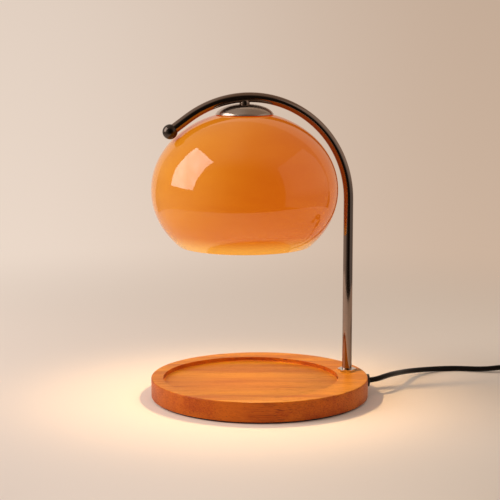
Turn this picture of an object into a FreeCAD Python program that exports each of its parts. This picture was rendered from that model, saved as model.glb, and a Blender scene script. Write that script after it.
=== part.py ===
import FreeCAD, Part
import math
import os

# Candle warmer lamp: a round wooden base with a recess for a candle jar, a bent tube that rises
# at one side and arches over the recess, and a glass shade with a twist-lock reflector lamp that
# melts the candle from above. The mains cord leaves the side of the base, passes an in-line
# dimmer and ends in a two-pin plug.
#
# Millimetres. +Z is up. The origin is the centre of the base at the surface that it stands on.
# The tube lies in the XZ plane, with its post at +X.

V = FreeCAD.Vector
UP = V(0, 0, 1)

# ---------------------------------------------------------------- clearances
slip = 0.05          # between pieces that slide together once, each side
free = 0.3           # between a moving piece and what surrounds it
thread_gap = 0.05    # between a thread and its nut, each side
drill_gap = 0.25     # between a bolt and the hole that it passes through, each side
past = 1.0           # how far a cutter runs past the face that it cuts
pilot_spare = 0.5    # hole left beyond the end of a screw
driver_slot = 0.8    # width of a slot for a screwdriver
driver_depth = 0.9
nut_face_inset = 0.1  # between a nut's round end face and its flats

# ---------------------------------------------------------------- base
base_radius = 100.0
wood_thickness = 18.0
base_edge_round = 1.1
recess_shift = -8.5          # the recess lies away from the post
recess_rim = 11.0            # wood beside the recess, where it is narrowest
recess_depth = 4.0
recess_floor_round = 0.7
recess_lip_round = 0.4
pad_thickness = 1.5
pad_inset = 3.0
plate_inset = 6.0            # of the plate's rim from the wood's
plate_thickness = 2.0
plate_screw_inset = 12.0     # from the plate's rim
plate_screw_radius = 1.6
plate_screw_head_radius = 3.2
plate_screw_head_depth = 1.6
plate_screw_length = 9.0
plate_screw_tip = 2.0
plate_screw_tip_radius = 0.3
plate_screw_cross = 4.4      # length of its driver cross
plate_screw_count = 4
pocket_radius = 24.0         # wiring pocket under the recess
pocket_offset = 26.5         # from the middle of the pocket to the post
pocket_roof = 4.5            # wood left above the wiring pocket
nut_pocket_radius = 9.5
nut_pocket_roof = 5.0        # wood left under the foot nut

# ---------------------------------------------------------------- post and arch
post_inset = 15.3            # from the side of the base to the middle of the post
post_clearance = 9.6         # between the shade and the post
arch_z = 181.0               # height of the middle of the bend
tube_radius = 4.5
tube_wall = 0.8
arch_end_length = 20.0       # straight end, up to the middle of the ball
ball_radius = 6.8
ball_gap = 1.55              # between the ball and the glass
foot_nut_flats = 15.8
foot_nut_height = 2.2
foot_nut_turn = -20.0        # degrees
foot_nut_chamfer = 0.5
stud_radius = 3.6
stud_bore = 2.3
stud_grip = 16.0             # how far the stud reaches into the tube
post_washer_radius = 7.5
post_washer_thickness = 1.0
lock_washer_radius = 6.2
lock_washer_thickness = 0.9
lock_washer_slit = 1.0
post_nut_flats = 11.0
post_nut_height = 3.2
stud_end = 0.4               # stud past its nut
lock_washer_turn = 30.0      # degrees, of its slit
post_nut_chamfer = 0.4

# ---------------------------------------------------------------- shade
shade_offset = 3.4           # from the middle of the arch, away from the post
shade_radius = 84.8
shade_half_height = 71.3
shade_wall = 3.0
shade_rim_drop = 50.6        # from the widest circle down to the rim
shade_rim_round = 1.3
shade_hole_radius = 7.0
bead_radius = 4.75
bead_drop = 5.0              # from the tube's centre line to the middle of the bead
cap_radius = 25.7
cap_lip = 0.5                # rolled edge, outside the dome
cap_lip_height = 1.0
cap_wall = 0.8
cap_flat_radius = 5.4
cap_top_drop = 0.9           # from the middle of the bead to the top of the cap
cap_rise = 6.3               # from the top of the glass to the top of the cap
cap_bulge = 0.5              # how far past its edge the dome would be widest
nipple_radius = 3.0
nipple_bore = 2.1
nipple_reach = 2.6           # its top below the tube's centre line
nipple_end = 1.3             # nipple past its lower nut
gasket_radius = 14.0
gasket_thickness = 1.5       # at its edge
bush_short = 0.2             # how much lower the bush is than the glass is thick
clamp_washer_radius = 15.5
clamp_washer_thickness = 1.2
nipple_nut_flats = 10.0
nipple_nut_height = 3.0
nipple_nut_chamfer = 0.4
lower_nut_turn = 17.0        # degrees

# ---------------------------------------------------------------- lamp holder and lamp
bracket_width = 12.0
bracket_thickness = 1.2
bracket_half_span = 15.0     # outside of its legs
bracket_foot = 8.0
bracket_height = 17.0
bracket_bend = 1.1           # outside radius of its corners
holder_radius = 16.0
holder_height = 16.0
holder_edge = 1.0
holder_screw_offset = 11.0
holder_screw_radius = 1.5
holder_screw_head = 2.7
holder_screw_head_height = 1.8
holder_screw_depth = 7.0
pin_offset = 5.0             # two pins, 10 mm apart
pin_bearing = 90.0           # degrees, of the first locked pin round the shade's axis
pin_neck_radius = 1.5
pin_head_radius = 2.4
pin_root = 3.0               # depth of a pin in the lamp's base
pin_web = 2.6                # face of the holder that the pin heads lock behind
pin_cavity = 4.6             # depth behind that face
twist_angle = 25.0           # degrees from locked to free
contact_thickness = 0.6
contact_width = 4.0
contact_length = 3.6
lamp_gap = 0.4               # between the lamp's shoulder and the holder
lamp_base_radius = 9.5
lamp_base_height = 13.0
lamp_base_edge = 0.8
lamp_length = 50.0           # shoulder to face
lamp_face_radius = 25.0
lamp_rim_height = 4.0
lamp_rim_step = 1.2          # of the rim outside the bell
lamp_glass = 1.6
bell_middle_height = 0.45    # where the bell's bend is, as a share of its height
bell_middle_width = 0.60     # and of its widening
lens_thickness = 2.2
lens_recess = 0.6
capsule_radius = 4.6
capsule_length = 20.0

# ---------------------------------------------------------------- lead inside the tube
lead_radius = 1.2
lead_top_bend = 3.6
lead_foot_bend = 3.6
lead_lift = 1.7              # of its run in the wiring pocket, above the plate
lead_entry_depth = 3.5       # into the lamp holder

# ---------------------------------------------------------------- mains cord
cord_radius = 2.5
cord_exit_offset = 18.4      # from the plane of the arch, at the side of the base
cord_exit_drop = 6.0         # from the top of the base
grommet_flange_radius = 5.8
grommet_flange = 2.2
grommet_flange_round = 0.7
grommet_shank_radius = 3.75
grommet_barb_radius = 4.4
grommet_barb = 1.4
channel_radius = 4.7
channel_length = 20.0
channel_cover = 8.0          # wood left between the channel and the side of the base
inner_bend_start = 13.0      # of the cord's bend, from the side of the base
inner_bend_end = 26.0
inner_straight = 4.0         # cord between its last bend and the connector
connector_length = 14.0
connector_width = 19.0
connector_height = 7.0
connector_offset = 10.0      # from the middle of the pocket, away from the post
connector_y = -4.5
connector_lift = 0.4
connector_entry = 5.0        # depth of a wire's entry
connector_cord_y = -9.5
clamp_wall = 1.4
clamp_stand_off = 6.0        # from the connector's face to the middle of the clamp
clamp_width = 7.0
clamp_ear = 7.0              # from the cord to a screw
clamp_ear_margin = 0.6       # past the screw's head
clamp_screw_radius = 1.3
clamp_screw_head = 2.5
clamp_screw_head_height = 1.5
clamp_screw_bite = 2.6

# ---------------------------------------------------------------- in-line dimmer
dimmer_length = 66.0
dimmer_width = 29.0
dimmer_height = 16.0
dimmer_split = 8.4
dimmer_wall = 1.8
dimmer_edge_round = 2.6
dimmer_seam = 0.25           # half height of the groove where the halves meet, and its depth
dimmer_x = 305.0
dimmer_y = 33.0
dimmer_cord_z = 5.0
dimmer_collar_radius = 4.4
dimmer_collar = 7.0
dimmer_collar_root = 6.0     # of a collar's bar inside the case
board_length = 40.0
board_width = 21.0
board_thickness = 1.6
board_lift = 1.0             # above the floor of the case
pot_size = 12.0
pot_height = 6.5
pot_collar_radius = 3.6
shaft_radius = 3.0
shaft_depth = 4.0            # into the potentiometer
knob_radius = 10.5
knob_height = 6.5
knob_skin = 1.5              # above the shaft
knob_grooves = 24
knob_groove_radius = 0.7
knob_round = 1.0
pointer_start = 3.5          # from the middle of the knob
pointer_margin = 1.6         # from its end to the knob's side
pointer_width = 1.0
pointer_depth = 0.5
pointer_turn = 135.0         # degrees
dimmer_boss_radius = 3.1
dimmer_screw_x = 21.0        # from the middle of the case
dimmer_screw_y = 8.0
dimmer_screw_radius = 1.3
dimmer_screw_head = 2.4
dimmer_screw_head_height = 1.4
dimmer_screw_recess = 0.2    # of its head in the case
dimmer_screw_length = 11.0
dimmer_screw_cross = 3.2     # length of its driver cross

# ---------------------------------------------------------------- coil and plug
coil_x = 384.0
coil_y = -2.0
coil_inner = 17.5
coil_outer = 37.5
coil_height = 9.6
coil_corner = 2.0
plug_y = -36.0
plug_z = 8.0
plug_body_end = 327.0        # where the body meets its strain relief
plug_length = 30.0
plug_width = 25.0
plug_thickness = 16.0
plug_round = 3.5
# along the plug: share of its length, of its width and of its thickness
plug_sections = [(0, 1, 1), (0.35, 1, 1), (0.7, 0.76, 0.86), (1, 0.52, 0.76)]
relief_length = 25.0
relief_thick = 5.0
relief_thin = 3.3
relief_ribs = 5
relief_groove = 2.0
relief_groove_depth = 0.6
blade_spacing = 12.7
blade_width = 6.3
blade_thickness = 1.5
blade_length = 17.0
blade_root = 8.0             # inside the body
blade_tip_round = 2.0
blade_hole_radius = 1.6
blade_hole_inset = 4.6       # from the tip

# The cord's route on the surface: to the dimmer, from the dimmer to the coil, and from the coil
# to the plug. The first point of each lies on the face that the cord leaves.
run_route = [
    (100.5, -18.8, 13.5),
    (107.4, -20.1, 13.5),
    (115.8, -18.6, 13.3),
    (123.2, -13.6, 12.7),
    (130.2, -5.2, 11.6),
    (136.8, 6.4, 9.8),
    (144.4, 20.2, 7.2),
    (156.4, 35.2, 4.6),
    (172.6, 46.0, 2.9),
    (192.2, 50.2, 2.5),
    (212.8, 47.4, 2.5),
    (230.6, 40.6, 2.9),
    (243.4, 35.2, 3.9),
    (254.2, 33.0, 5.0),
    (265.0, 33.0, 5.0),
]
link_route = [
    (345.0, 33.0, 5.0),
    (353.0, 33.0, 5.0),
    (364.0, 33.1, 3.2),
    (374.0, 33.0, 2.5),
]
tail_route = [
    (376.6, -34.5, 6.8),
    (369.0, -34.7, 7.0),
    (361.0, -36.0, 8.0),
    (352.0, -36.0, 8.0),
]

# ---------------------------------------------------------------- derived places
plate_radius = base_radius - plate_inset
plate_screw_circle = plate_radius - plate_screw_inset
wood_bottom = pad_thickness
base_top = wood_bottom + wood_thickness
recess_floor = base_top - recess_depth
plate_top = wood_bottom + plate_thickness
pocket_top = recess_floor - pocket_roof
nut_pocket_top = base_top - nut_pocket_roof
recess_radius = base_radius + recess_shift - recess_rim
post_x = base_radius - post_inset
pocket_x = post_x - pocket_offset
arch_radius = shade_radius - shade_offset + post_clearance + tube_radius
arch_x = post_x - arch_radius
shade_x = arch_x - shade_offset
tube_bottom = base_top + foot_nut_height
tube_bore = tube_radius - tube_wall
post_washer_bottom = nut_pocket_top - post_washer_thickness
lock_washer_bottom = post_washer_bottom - lock_washer_thickness
post_nut_bottom = lock_washer_bottom - post_nut_height
stud_bottom = post_nut_bottom - stud_end
shade_axis = V(shade_x, 0, 0)
post_axis = V(post_x, 0, 0)
tube_over_shade = arch_z + math.sqrt(arch_radius**2 - (shade_x - arch_x) ** 2)
bead_z = tube_over_shade - bead_drop
cap_top_z = bead_z - cap_top_drop
nipple_top_z = tube_over_shade - nipple_reach
shade_middle_z = cap_top_z - cap_rise - shade_half_height
shade_rim_z = shade_middle_z - shade_rim_drop
inner_radius = shade_radius - shade_wall
inner_half_height = shade_half_height - shade_wall
gasket_bottom = (
    shade_middle_z + inner_half_height * math.sqrt(1 - (gasket_radius / inner_radius) ** 2)
) - gasket_thickness
clamp_washer_bottom = gasket_bottom - clamp_washer_thickness
upper_nut_bottom = clamp_washer_bottom - nipple_nut_height
bracket_top = upper_nut_bottom
lower_nut_bottom = bracket_top - bracket_thickness - nipple_nut_height
nipple_bottom = lower_nut_bottom - nipple_end
holder_top = bracket_top - bracket_height
holder_bottom = holder_top - holder_height
lamp_top = holder_bottom - lamp_gap
lamp_face = lamp_top - lamp_length
bell_radius = lamp_face_radius - lamp_rim_step
pin_head_length = pin_cavity - contact_thickness - 2 * free
cord_exit_z = base_top - cord_exit_drop
exit_turn = -math.asin(cord_exit_offset / base_radius)
exit_direction = V(math.cos(exit_turn), math.sin(exit_turn), 0)
channel_end = base_radius - channel_cover
channel_start = channel_end - channel_length
inner_cord_z = pocket_top - cord_radius - free
lead_height = plate_top + lead_lift
connector_x = pocket_x - connector_offset
dimmer_start = dimmer_x - dimmer_length / 2
dimmer_end = dimmer_x + dimmer_length / 2
dimmer_axis = V(dimmer_x, dimmer_y, 0)
dimmer_screw_seat = dimmer_screw_recess + dimmer_screw_head_height
board_top = dimmer_wall + board_lift + board_thickness
shaft_seat = board_top + pot_height - shaft_depth
knob_bottom = dimmer_height + free
knob_top = knob_bottom + knob_height
connector_face = connector_x + connector_length / 2
clamp_x = connector_face + clamp_stand_off
clamp_y = connector_cord_y

os.makedirs("parts", exist_ok=True)
facets = 0


def save(name, shape):
    """Writes one node's STEP file, after a test that every solid in it is sound."""
    global facets
    solids = shape.Solids
    if not solids:
        raise RuntimeError(name + " has no solid")
    for solid in solids:
        if not solid.isValid() or solid.Volume <= 0:
            raise RuntimeError(name + " isn't a sound solid")
    kept = solids[0] if len(solids) == 1 else Part.makeCompound(solids)
    count = len(kept.tessellate(0.2)[1])
    facets += count
    kept.exportStep("parts/" + name + ".step")
    print(name, len(solids), "solid(s)", round(sum(s.Volume for s in solids), 1), "mm3", count, "facets")
    return kept


def disc(radius, low, high, centre=V(0, 0, 0)):
    """An upright cylinder from one height to another."""
    return Part.makeCylinder(radius, high - low, V(centre.x, centre.y, low), UP)


def ring(outer, inner, low, high, centre=V(0, 0, 0)):
    """An upright tube from one height to another."""
    return disc(outer, low, high, centre).cut(disc(inner, low - past, high + past, centre))


def lathe(outline, centre=V(0, 0, 0)):
    """Turns a closed outline of (radius, height) corners about an upright axis."""
    corners = [V(centre.x + r, centre.y, z) for r, z in outline]
    face = Part.Face(Part.makePolygon(corners + corners[:1]))
    return face.revolve(centre, UP, 360)


def hexagon(flats, low, high, centre, turn=0.0):
    """An upright six-sided prism, given its width across flats."""
    reach = flats / math.sqrt(3)
    corners = []
    for k in range(7):
        angle = math.radians(turn + 60 * k)
        corners.append(V(centre.x + reach * math.cos(angle), centre.y + reach * math.sin(angle), low))
    return Part.Face(Part.makePolygon(corners)).extrude(V(0, 0, high - low))


def hex_nut(flats, bore, low, high, centre, chamfer, turn=0.0):
    """A nut with the corners of both ends turned off, to a depth of chamfer."""
    corner = flats / math.sqrt(3) + nut_face_inset
    inside = flats / 2 - nut_face_inset
    turned = lathe(
        [
            (0, low),
            (inside, low),
            (corner, low + chamfer),
            (corner, high - chamfer),
            (inside, high),
            (0, high),
        ],
        centre,
    )
    body = hexagon(flats, low, high, centre, turn).common(turned)
    return body.cut(disc(bore, low - past, high + past, centre))


def box(low, high):
    """A block between two corners."""
    return Part.makeBox(high.x - low.x, high.y - low.y, high.z - low.z, low)


def driver_cross(length, z, centre):
    """The cutter for a cross in the underside of a screw's head, open below."""
    long = length / 2
    wide = driver_slot / 2
    cross = box(V(-long, -wide, z - past), V(long, wide, z + driver_depth))
    cross = cross.fuse(box(V(-wide, -long, z - past), V(wide, long, z + driver_depth)))
    cross.translate(V(centre.x, centre.y, 0))
    return cross


def round_edges(body, radius):
    """The edges of a body that are whole circles of a radius."""
    return [e for e in body.Edges if abs(e.Length - 2 * math.pi * radius) < 0.01]


def arc_edge(centre, radius, start, end):
    """An arc in the XZ plane, with its angles in degrees from +X towards +Z."""
    points = []
    for angle in (start, (start + end) / 2, end):
        a = math.radians(angle)
        points.append(V(centre.x + radius * math.cos(a), 0, centre.z + radius * math.sin(a)))
    return Part.Arc(*points).toShape()


def pipe(edges, radius):
    """A round bar swept along joined edges."""
    path = Part.Wire(edges)
    start = edges[0].valueAt(edges[0].FirstParameter)
    heading = edges[0].tangentAt(edges[0].FirstParameter)
    face = Part.Face(Part.Wire(Part.makeCircle(radius, start, heading)))
    return path.makePipe(face)


def rounded_path(points, share=0.45):
    """Straight runs joined by tangent arcs, each as large as its shorter run allows."""
    corners = [V(*p) for p in points]
    edges = []
    radii = []
    last = corners[0]
    for before, corner, after in zip(corners, corners[1:], corners[2:]):
        back = (before - corner).normalize()
        ahead = (after - corner).normalize()
        half_turn = (math.pi - back.getAngle(ahead)) / 2
        reach = share * min((corner - before).Length, (after - corner).Length)
        radius = reach / math.tan(half_turn)
        middle_direction = (back + ahead).normalize()
        middle_distance = radius / math.cos(half_turn) - radius
        start = corner + back * reach
        end = corner + ahead * reach
        edges.append(Part.LineSegment(last, start).toShape())
        edges.append(Part.Arc(start, corner + middle_direction * middle_distance, end).toShape())
        radii.append(radius)
        last = end
    edges.append(Part.LineSegment(last, corners[-1]).toShape())
    return edges, radii


def cord_piece(name, points):
    """One stretch of the mains cord, with its bends and its volume against section times length."""
    edges, radii = rounded_path(points)
    body = pipe(edges, cord_radius)
    length = sum(e.Length for e in edges)
    expected = math.pi * cord_radius**2 * length
    print(name, "length", round(length, 1), "radii", [round(r, 1) for r in radii])
    print(name, "volume over section times length", round(body.Volume / expected, 4))
    return body


def along_exit(shape):
    """Turns a piece made along +X to the direction in which the cord leaves the base."""
    turned = shape.copy()
    turned.rotate(V(0, 0, 0), UP, math.degrees(exit_turn))
    return turned


def rod_x(radius, start, end, y, z):
    """A bar along X."""
    return Part.makeCylinder(radius, end - start, V(start, y, z), V(1, 0, 0))


# ================================================================ base
def plate_screw_places():
    for k in range(plate_screw_count):
        angle = math.radians(45 + 360.0 * k / plate_screw_count)
        yield V(plate_screw_circle * math.cos(angle), plate_screw_circle * math.sin(angle), 0)


def make_foot_pad():
    return disc(base_radius - pad_inset, 0, pad_thickness)


def clamp_screw_places():
    """Either side of the inner cord, at the clamp."""
    for side in (-1, 1):
        yield V(clamp_x, clamp_y + side * clamp_ear, 0)


def make_wood_base():
    body = disc(base_radius, wood_bottom, base_top)
    body = body.makeFillet(base_edge_round, round_edges(body, base_radius))
    recess_centre = V(recess_shift, 0, 0)
    hollow = disc(recess_radius, recess_floor, base_top + recess_depth, recess_centre)
    floor_edge = [e for e in hollow.Edges if abs(e.BoundBox.ZMax - recess_floor) < 0.01]
    hollow = hollow.makeFillet(recess_floor_round, floor_edge[:1])
    body = body.cut(hollow)
    lip = [e for e in round_edges(body, recess_radius) if e.BoundBox.ZMin > base_top - 0.01]
    body = body.makeFillet(recess_lip_round, lip)
    body = body.cut(disc(plate_radius + slip, wood_bottom - past, plate_top))
    body = body.cut(disc(pocket_radius, plate_top - past, pocket_top, V(pocket_x, 0, 0)))
    body = body.cut(disc(nut_pocket_radius, plate_top - past, nut_pocket_top, post_axis))
    body = body.cut(disc(stud_radius + drill_gap, nut_pocket_top - past, base_top + past, post_axis))
    # cord channel, open below, and the drilled hole for the grommet
    slot = box(
        V(channel_start, -channel_radius, plate_top - past), V(channel_end, channel_radius, cord_exit_z)
    )
    slot = slot.fuse(rod_x(channel_radius - slip, channel_start, channel_end, 0, cord_exit_z))
    hole = rod_x(grommet_shank_radius + slip, channel_end - past, base_radius + past, 0, cord_exit_z)
    body = body.cut(along_exit(slot)).cut(along_exit(hole))
    for place in plate_screw_places():
        pilot_top = wood_bottom + plate_screw_length + pilot_spare
        body = body.cut(disc(plate_screw_radius + thread_gap, plate_top - past, pilot_top, place))
    for place in clamp_screw_places():
        pilot_top = pocket_top + clamp_screw_bite + pilot_spare
        body = body.cut(disc(clamp_screw_radius + thread_gap, pocket_top - past, pilot_top, place))
    return body


def make_ballast_plate():
    body = disc(plate_radius, wood_bottom, plate_top)
    for place in plate_screw_places():
        body = body.cut(disc(plate_screw_radius + drill_gap, wood_bottom - past, plate_top + past, place))
        seat = Part.makeCone(
            plate_screw_head_radius + drill_gap,
            plate_screw_radius + drill_gap,
            plate_screw_head_depth,
            V(place.x, place.y, wood_bottom),
            UP,
        )
        body = body.cut(seat)
    return body


def make_plate_screws():
    screws = []
    for place in plate_screw_places():
        head = Part.makeCone(
            plate_screw_head_radius,
            plate_screw_radius,
            plate_screw_head_depth,
            V(place.x, place.y, wood_bottom),
            UP,
        )
        shank_top = wood_bottom + plate_screw_length - plate_screw_tip
        shank = disc(plate_screw_radius, wood_bottom + plate_screw_head_depth, shank_top, place)
        tip = Part.makeCone(
            plate_screw_radius, plate_screw_tip_radius, plate_screw_tip, V(place.x, place.y, shank_top), UP
        )
        cross = driver_cross(plate_screw_cross, wood_bottom, place)
        screws.append(head.fuse(shank).fuse(tip).cut(cross).removeSplitter())
    return Part.makeCompound(screws)


# ================================================================ post and arch
outline_steps = 2000         # of the shade's outline, when a gap to it is measured


def ball_place(end_angle):
    """Where the bend ends, the way on from there, and the middle of the ball."""
    angle = math.radians(end_angle)
    bend_end = V(arch_x + arch_radius * math.cos(angle), 0, arch_z + arch_radius * math.sin(angle))
    heading = V(-math.sin(angle), 0, math.cos(angle))
    return bend_end, heading, bend_end + heading * arch_end_length


def gap_to_glass(point):
    """The distance from a point of the XZ plane to the outline of the shade."""
    nearest = math.inf
    for k in range(outline_steps):
        t = math.pi * k / outline_steps
        x = shade_x + shade_radius * math.cos(t)
        z = shade_middle_z + shade_half_height * math.sin(t)
        nearest = min(nearest, math.hypot(point.x - x, point.z - z))
    return nearest


def find_end_angle():
    """The angle at which the bend stops, so that the ball just clears the glass, by halving."""
    early, late = 90.0, 160.0
    while late - early > 0.001:
        middle = (early + late) / 2
        if gap_to_glass(ball_place(middle)[2]) > ball_radius + ball_gap:
            early = middle
        else:
            late = middle
    return early


def arch_edges():
    bend_end, _, ball_centre = ball_place(arch_end_angle)
    return [
        Part.LineSegment(V(post_x, 0, tube_bottom), V(post_x, 0, arch_z)).toShape(),
        arc_edge(V(arch_x, 0, arch_z), arch_radius, 0, arch_end_angle),
        Part.LineSegment(bend_end, ball_centre).toShape(),
    ]


arch_end_angle = find_end_angle()


def make_arch_tube():
    outer = pipe(arch_edges(), tube_radius)
    inner = pipe(arch_edges(), tube_bore)
    body = outer.cut(inner)
    return body.cut(disc(nipple_radius + thread_gap, bead_z - bead_radius, tube_over_shade, shade_axis))


def make_end_ball():
    _, heading, centre = ball_place(arch_end_angle)
    body = Part.makeSphere(ball_radius, centre)
    blind = Part.makeCylinder(tube_radius + slip, ball_radius + 2, centre, heading * -1)
    return body.cut(blind)


def make_foot_nut():
    bore = stud_radius + thread_gap
    return hex_nut(foot_nut_flats, bore, base_top, tube_bottom, post_axis, foot_nut_chamfer, foot_nut_turn)


def make_post_stud():
    return ring(stud_radius, stud_bore, stud_bottom, tube_bottom + stud_grip, post_axis)


def make_post_washer():
    return ring(post_washer_radius, stud_radius + drill_gap, post_washer_bottom, nut_pocket_top, post_axis)


def make_post_lock_washer():
    bore = stud_radius + drill_gap
    body = ring(lock_washer_radius, bore, lock_washer_bottom, post_washer_bottom, post_axis)
    half = lock_washer_slit / 2
    slit_low = V(0, -half, lock_washer_bottom - past)
    slit_high = V(lock_washer_radius + past, half, post_washer_bottom + past)
    slit = box(slit_low, slit_high)
    slit.rotate(V(0, 0, 0), UP, lock_washer_turn)
    slit.translate(post_axis)
    return body.cut(slit)


def make_post_nut():
    bore = stud_radius + thread_gap
    return hex_nut(post_nut_flats, bore, post_nut_bottom, lock_washer_bottom, post_axis, post_nut_chamfer)


# ================================================================ shade
def ellipse_height(radius, wide, tall):
    """Height above the widest circle of an upright ellipse, at a radius."""
    return tall * math.sqrt(1 - (radius / wide) ** 2)


def shade_body(wide, tall):
    """The whole egg-shaped solid inside one of the shade's surfaces: half an ellipse, turned."""
    middle = V(shade_x, 0, shade_middle_z)
    top = middle + UP * tall
    bottom = middle - UP * tall
    side = middle + V(wide, 0, 0)
    if wide >= tall:
        half = Part.ArcOfEllipse(Part.Ellipse(side, top, middle), -math.pi / 2, math.pi / 2)
    else:
        half = Part.ArcOfEllipse(Part.Ellipse(top, side, middle), 0, math.pi)
    outline = Part.Wire([half.toShape(), Part.LineSegment(top, bottom).toShape()])
    return Part.Face(outline).revolve(middle, UP, 360)


def make_glass_shade():
    outer = shade_body(shade_radius, shade_half_height)
    inner = shade_body(inner_radius, inner_half_height)
    body = outer.cut(inner)
    body = body.cut(disc(shade_radius, shade_middle_z - shade_half_height - past, shade_rim_z, shade_axis))
    body = body.cut(disc(shade_hole_radius, shade_middle_z, cap_top_z, shade_axis))
    rim = [e for e in body.Edges if abs(e.BoundBox.ZMax - shade_rim_z) < 0.01 and e.Length > 10]
    return body.makeFillet(shade_rim_round, rim)


def make_hanger_bead():
    body = Part.makeSphere(bead_radius, V(shade_x, 0, bead_z))
    body = body.cut(disc(bead_radius + past, bead_z - bead_radius - past, cap_top_z, shade_axis))
    body = body.cut(pipe(arch_edges(), tube_radius))
    bead_top = bead_z + bead_radius
    return body.cut(disc(nipple_radius + thread_gap, cap_top_z - past, bead_top + past, shade_axis))


def make_shade_nipple():
    return ring(nipple_radius, nipple_bore, nipple_bottom, nipple_top_z, shade_axis)


def cap_seat_z():
    return shade_middle_z + ellipse_height(cap_radius - cap_wall, shade_radius, shade_half_height) + slip


def cap_arc(start, end, wide, tall, middle):
    """A quarter-ellipse's edge between two radii: half width wide, half height tall."""
    side = V(shade_x + wide, 0, middle)
    top = V(shade_x, 0, middle + tall)
    centre = V(shade_x, 0, middle)
    if wide >= tall:
        whole = Part.Ellipse(side, top, centre)
        return Part.ArcOfEllipse(whole, math.acos(end / wide), math.acos(start / wide)).toShape()
    whole = Part.Ellipse(top, side, centre)
    return Part.ArcOfEllipse(whole, -math.asin(end / wide), -math.asin(start / wide)).toShape()


def make_shade_cap():
    """A thin elliptical dome with a rolled edge, which sits on the glass."""
    low = cap_seat_z()
    lip = low + cap_lip_height
    wide = cap_radius + cap_bulge
    flat_share = math.sqrt(1 - (cap_flat_radius / wide) ** 2)
    edge_share = math.sqrt(1 - (cap_radius / wide) ** 2)
    tall = (cap_top_z - lip) / (flat_share - edge_share)
    middle = lip - tall * edge_share
    inner_wide = wide - cap_wall
    inner_tall = tall - cap_wall
    inner_edge = cap_radius - cap_wall
    inner_lip = middle + ellipse_height(inner_edge, inner_wide, inner_tall)
    inner_top = middle + ellipse_height(cap_flat_radius, inner_wide, inner_tall)

    def at(r, z):
        return V(shade_x + r, 0, z)

    def line(a, b):
        return Part.LineSegment(a, b).toShape()

    hole = nipple_radius + drill_gap
    outline = [
        line(at(hole, cap_top_z), at(cap_flat_radius, cap_top_z)),
        cap_arc(cap_flat_radius, cap_radius, wide, tall, middle),
        Part.Arc(
            at(cap_radius, lip),
            at(cap_radius + cap_lip, low + cap_lip_height / 2),
            at(cap_radius, low),
        ).toShape(),
        line(at(cap_radius, low), at(inner_edge, low)),
        line(at(inner_edge, low), at(inner_edge, inner_lip)),
        cap_arc(cap_flat_radius, inner_edge, inner_wide, inner_tall, middle),
        line(at(cap_flat_radius, inner_top), at(hole, inner_top)),
        line(at(hole, inner_top), at(hole, cap_top_z)),
    ]
    outline = Part.Wire(Part.__sortEdges__(outline))
    return Part.Face(outline).revolve(V(shade_x, 0, 0), UP, 360)


def make_shade_gasket():
    block = ring(gasket_radius, nipple_radius + drill_gap, gasket_bottom, cap_top_z, shade_axis)
    return block.common(shade_body(inner_radius - slip, inner_half_height - slip))


def make_shade_bush():
    low = shade_middle_z + inner_half_height
    high = low + shade_wall - bush_short
    return ring(shade_hole_radius - slip, nipple_radius + slip, low, high, shade_axis)


def make_clamp_washer():
    bore = nipple_radius + drill_gap
    return ring(clamp_washer_radius, bore, clamp_washer_bottom, gasket_bottom, shade_axis)


def make_nipple_nuts():
    nuts = []
    for low, turn in ((upper_nut_bottom, 0), (lower_nut_bottom, lower_nut_turn)):
        bore = nipple_radius + thread_gap
        high = low + nipple_nut_height
        nuts.append(hex_nut(nipple_nut_flats, bore, low, high, shade_axis, nipple_nut_chamfer, turn))
    return Part.makeCompound(nuts)


# ================================================================ lamp holder
def make_holder_bracket():
    half = bracket_width / 2
    wide = half + past
    outer = box(
        V(shade_x - bracket_half_span, -half, holder_top),
        V(shade_x + bracket_half_span, half, bracket_top),
    )
    inner = box(
        V(shade_x - bracket_half_span + bracket_thickness, -wide, holder_top + bracket_thickness),
        V(shade_x + bracket_half_span - bracket_thickness, wide, bracket_top - bracket_thickness),
    )
    gap_half = bracket_half_span - bracket_foot
    foot_top = holder_top + bracket_thickness
    opening = box(
        V(shade_x - gap_half, -wide, holder_top - past), V(shade_x + gap_half, wide, foot_top + past)
    )
    body = outer.cut(inner).cut(opening)
    corners = [
        e
        for e in body.Edges
        if abs(e.Length - bracket_width) < 0.01
        and abs(abs(e.CenterOfMass.x - shade_x) - bracket_half_span) < 0.01
        and min(abs(e.CenterOfMass.z - holder_top), abs(e.CenterOfMass.z - bracket_top)) < 0.01
    ]
    body = body.makeFillet(bracket_bend, corners)
    hole_low = bracket_top - bracket_thickness - past
    body = body.cut(disc(nipple_radius + drill_gap, hole_low, bracket_top + past, shade_axis))
    for place in holder_screw_places():
        body = body.cut(disc(holder_screw_radius + drill_gap, holder_top - past, foot_top + past, place))
    return body


def holder_screw_places():
    for side in (-1, 1):
        yield V(shade_x + side * holder_screw_offset, 0, 0)


def pin_places(turn=0.0):
    """The two pins lie along Y when the lamp is locked."""
    for start in (pin_bearing, pin_bearing + 180):
        angle = math.radians(start + turn)
        yield V(shade_x + pin_offset * math.cos(angle), pin_offset * math.sin(angle), 0)


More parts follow.
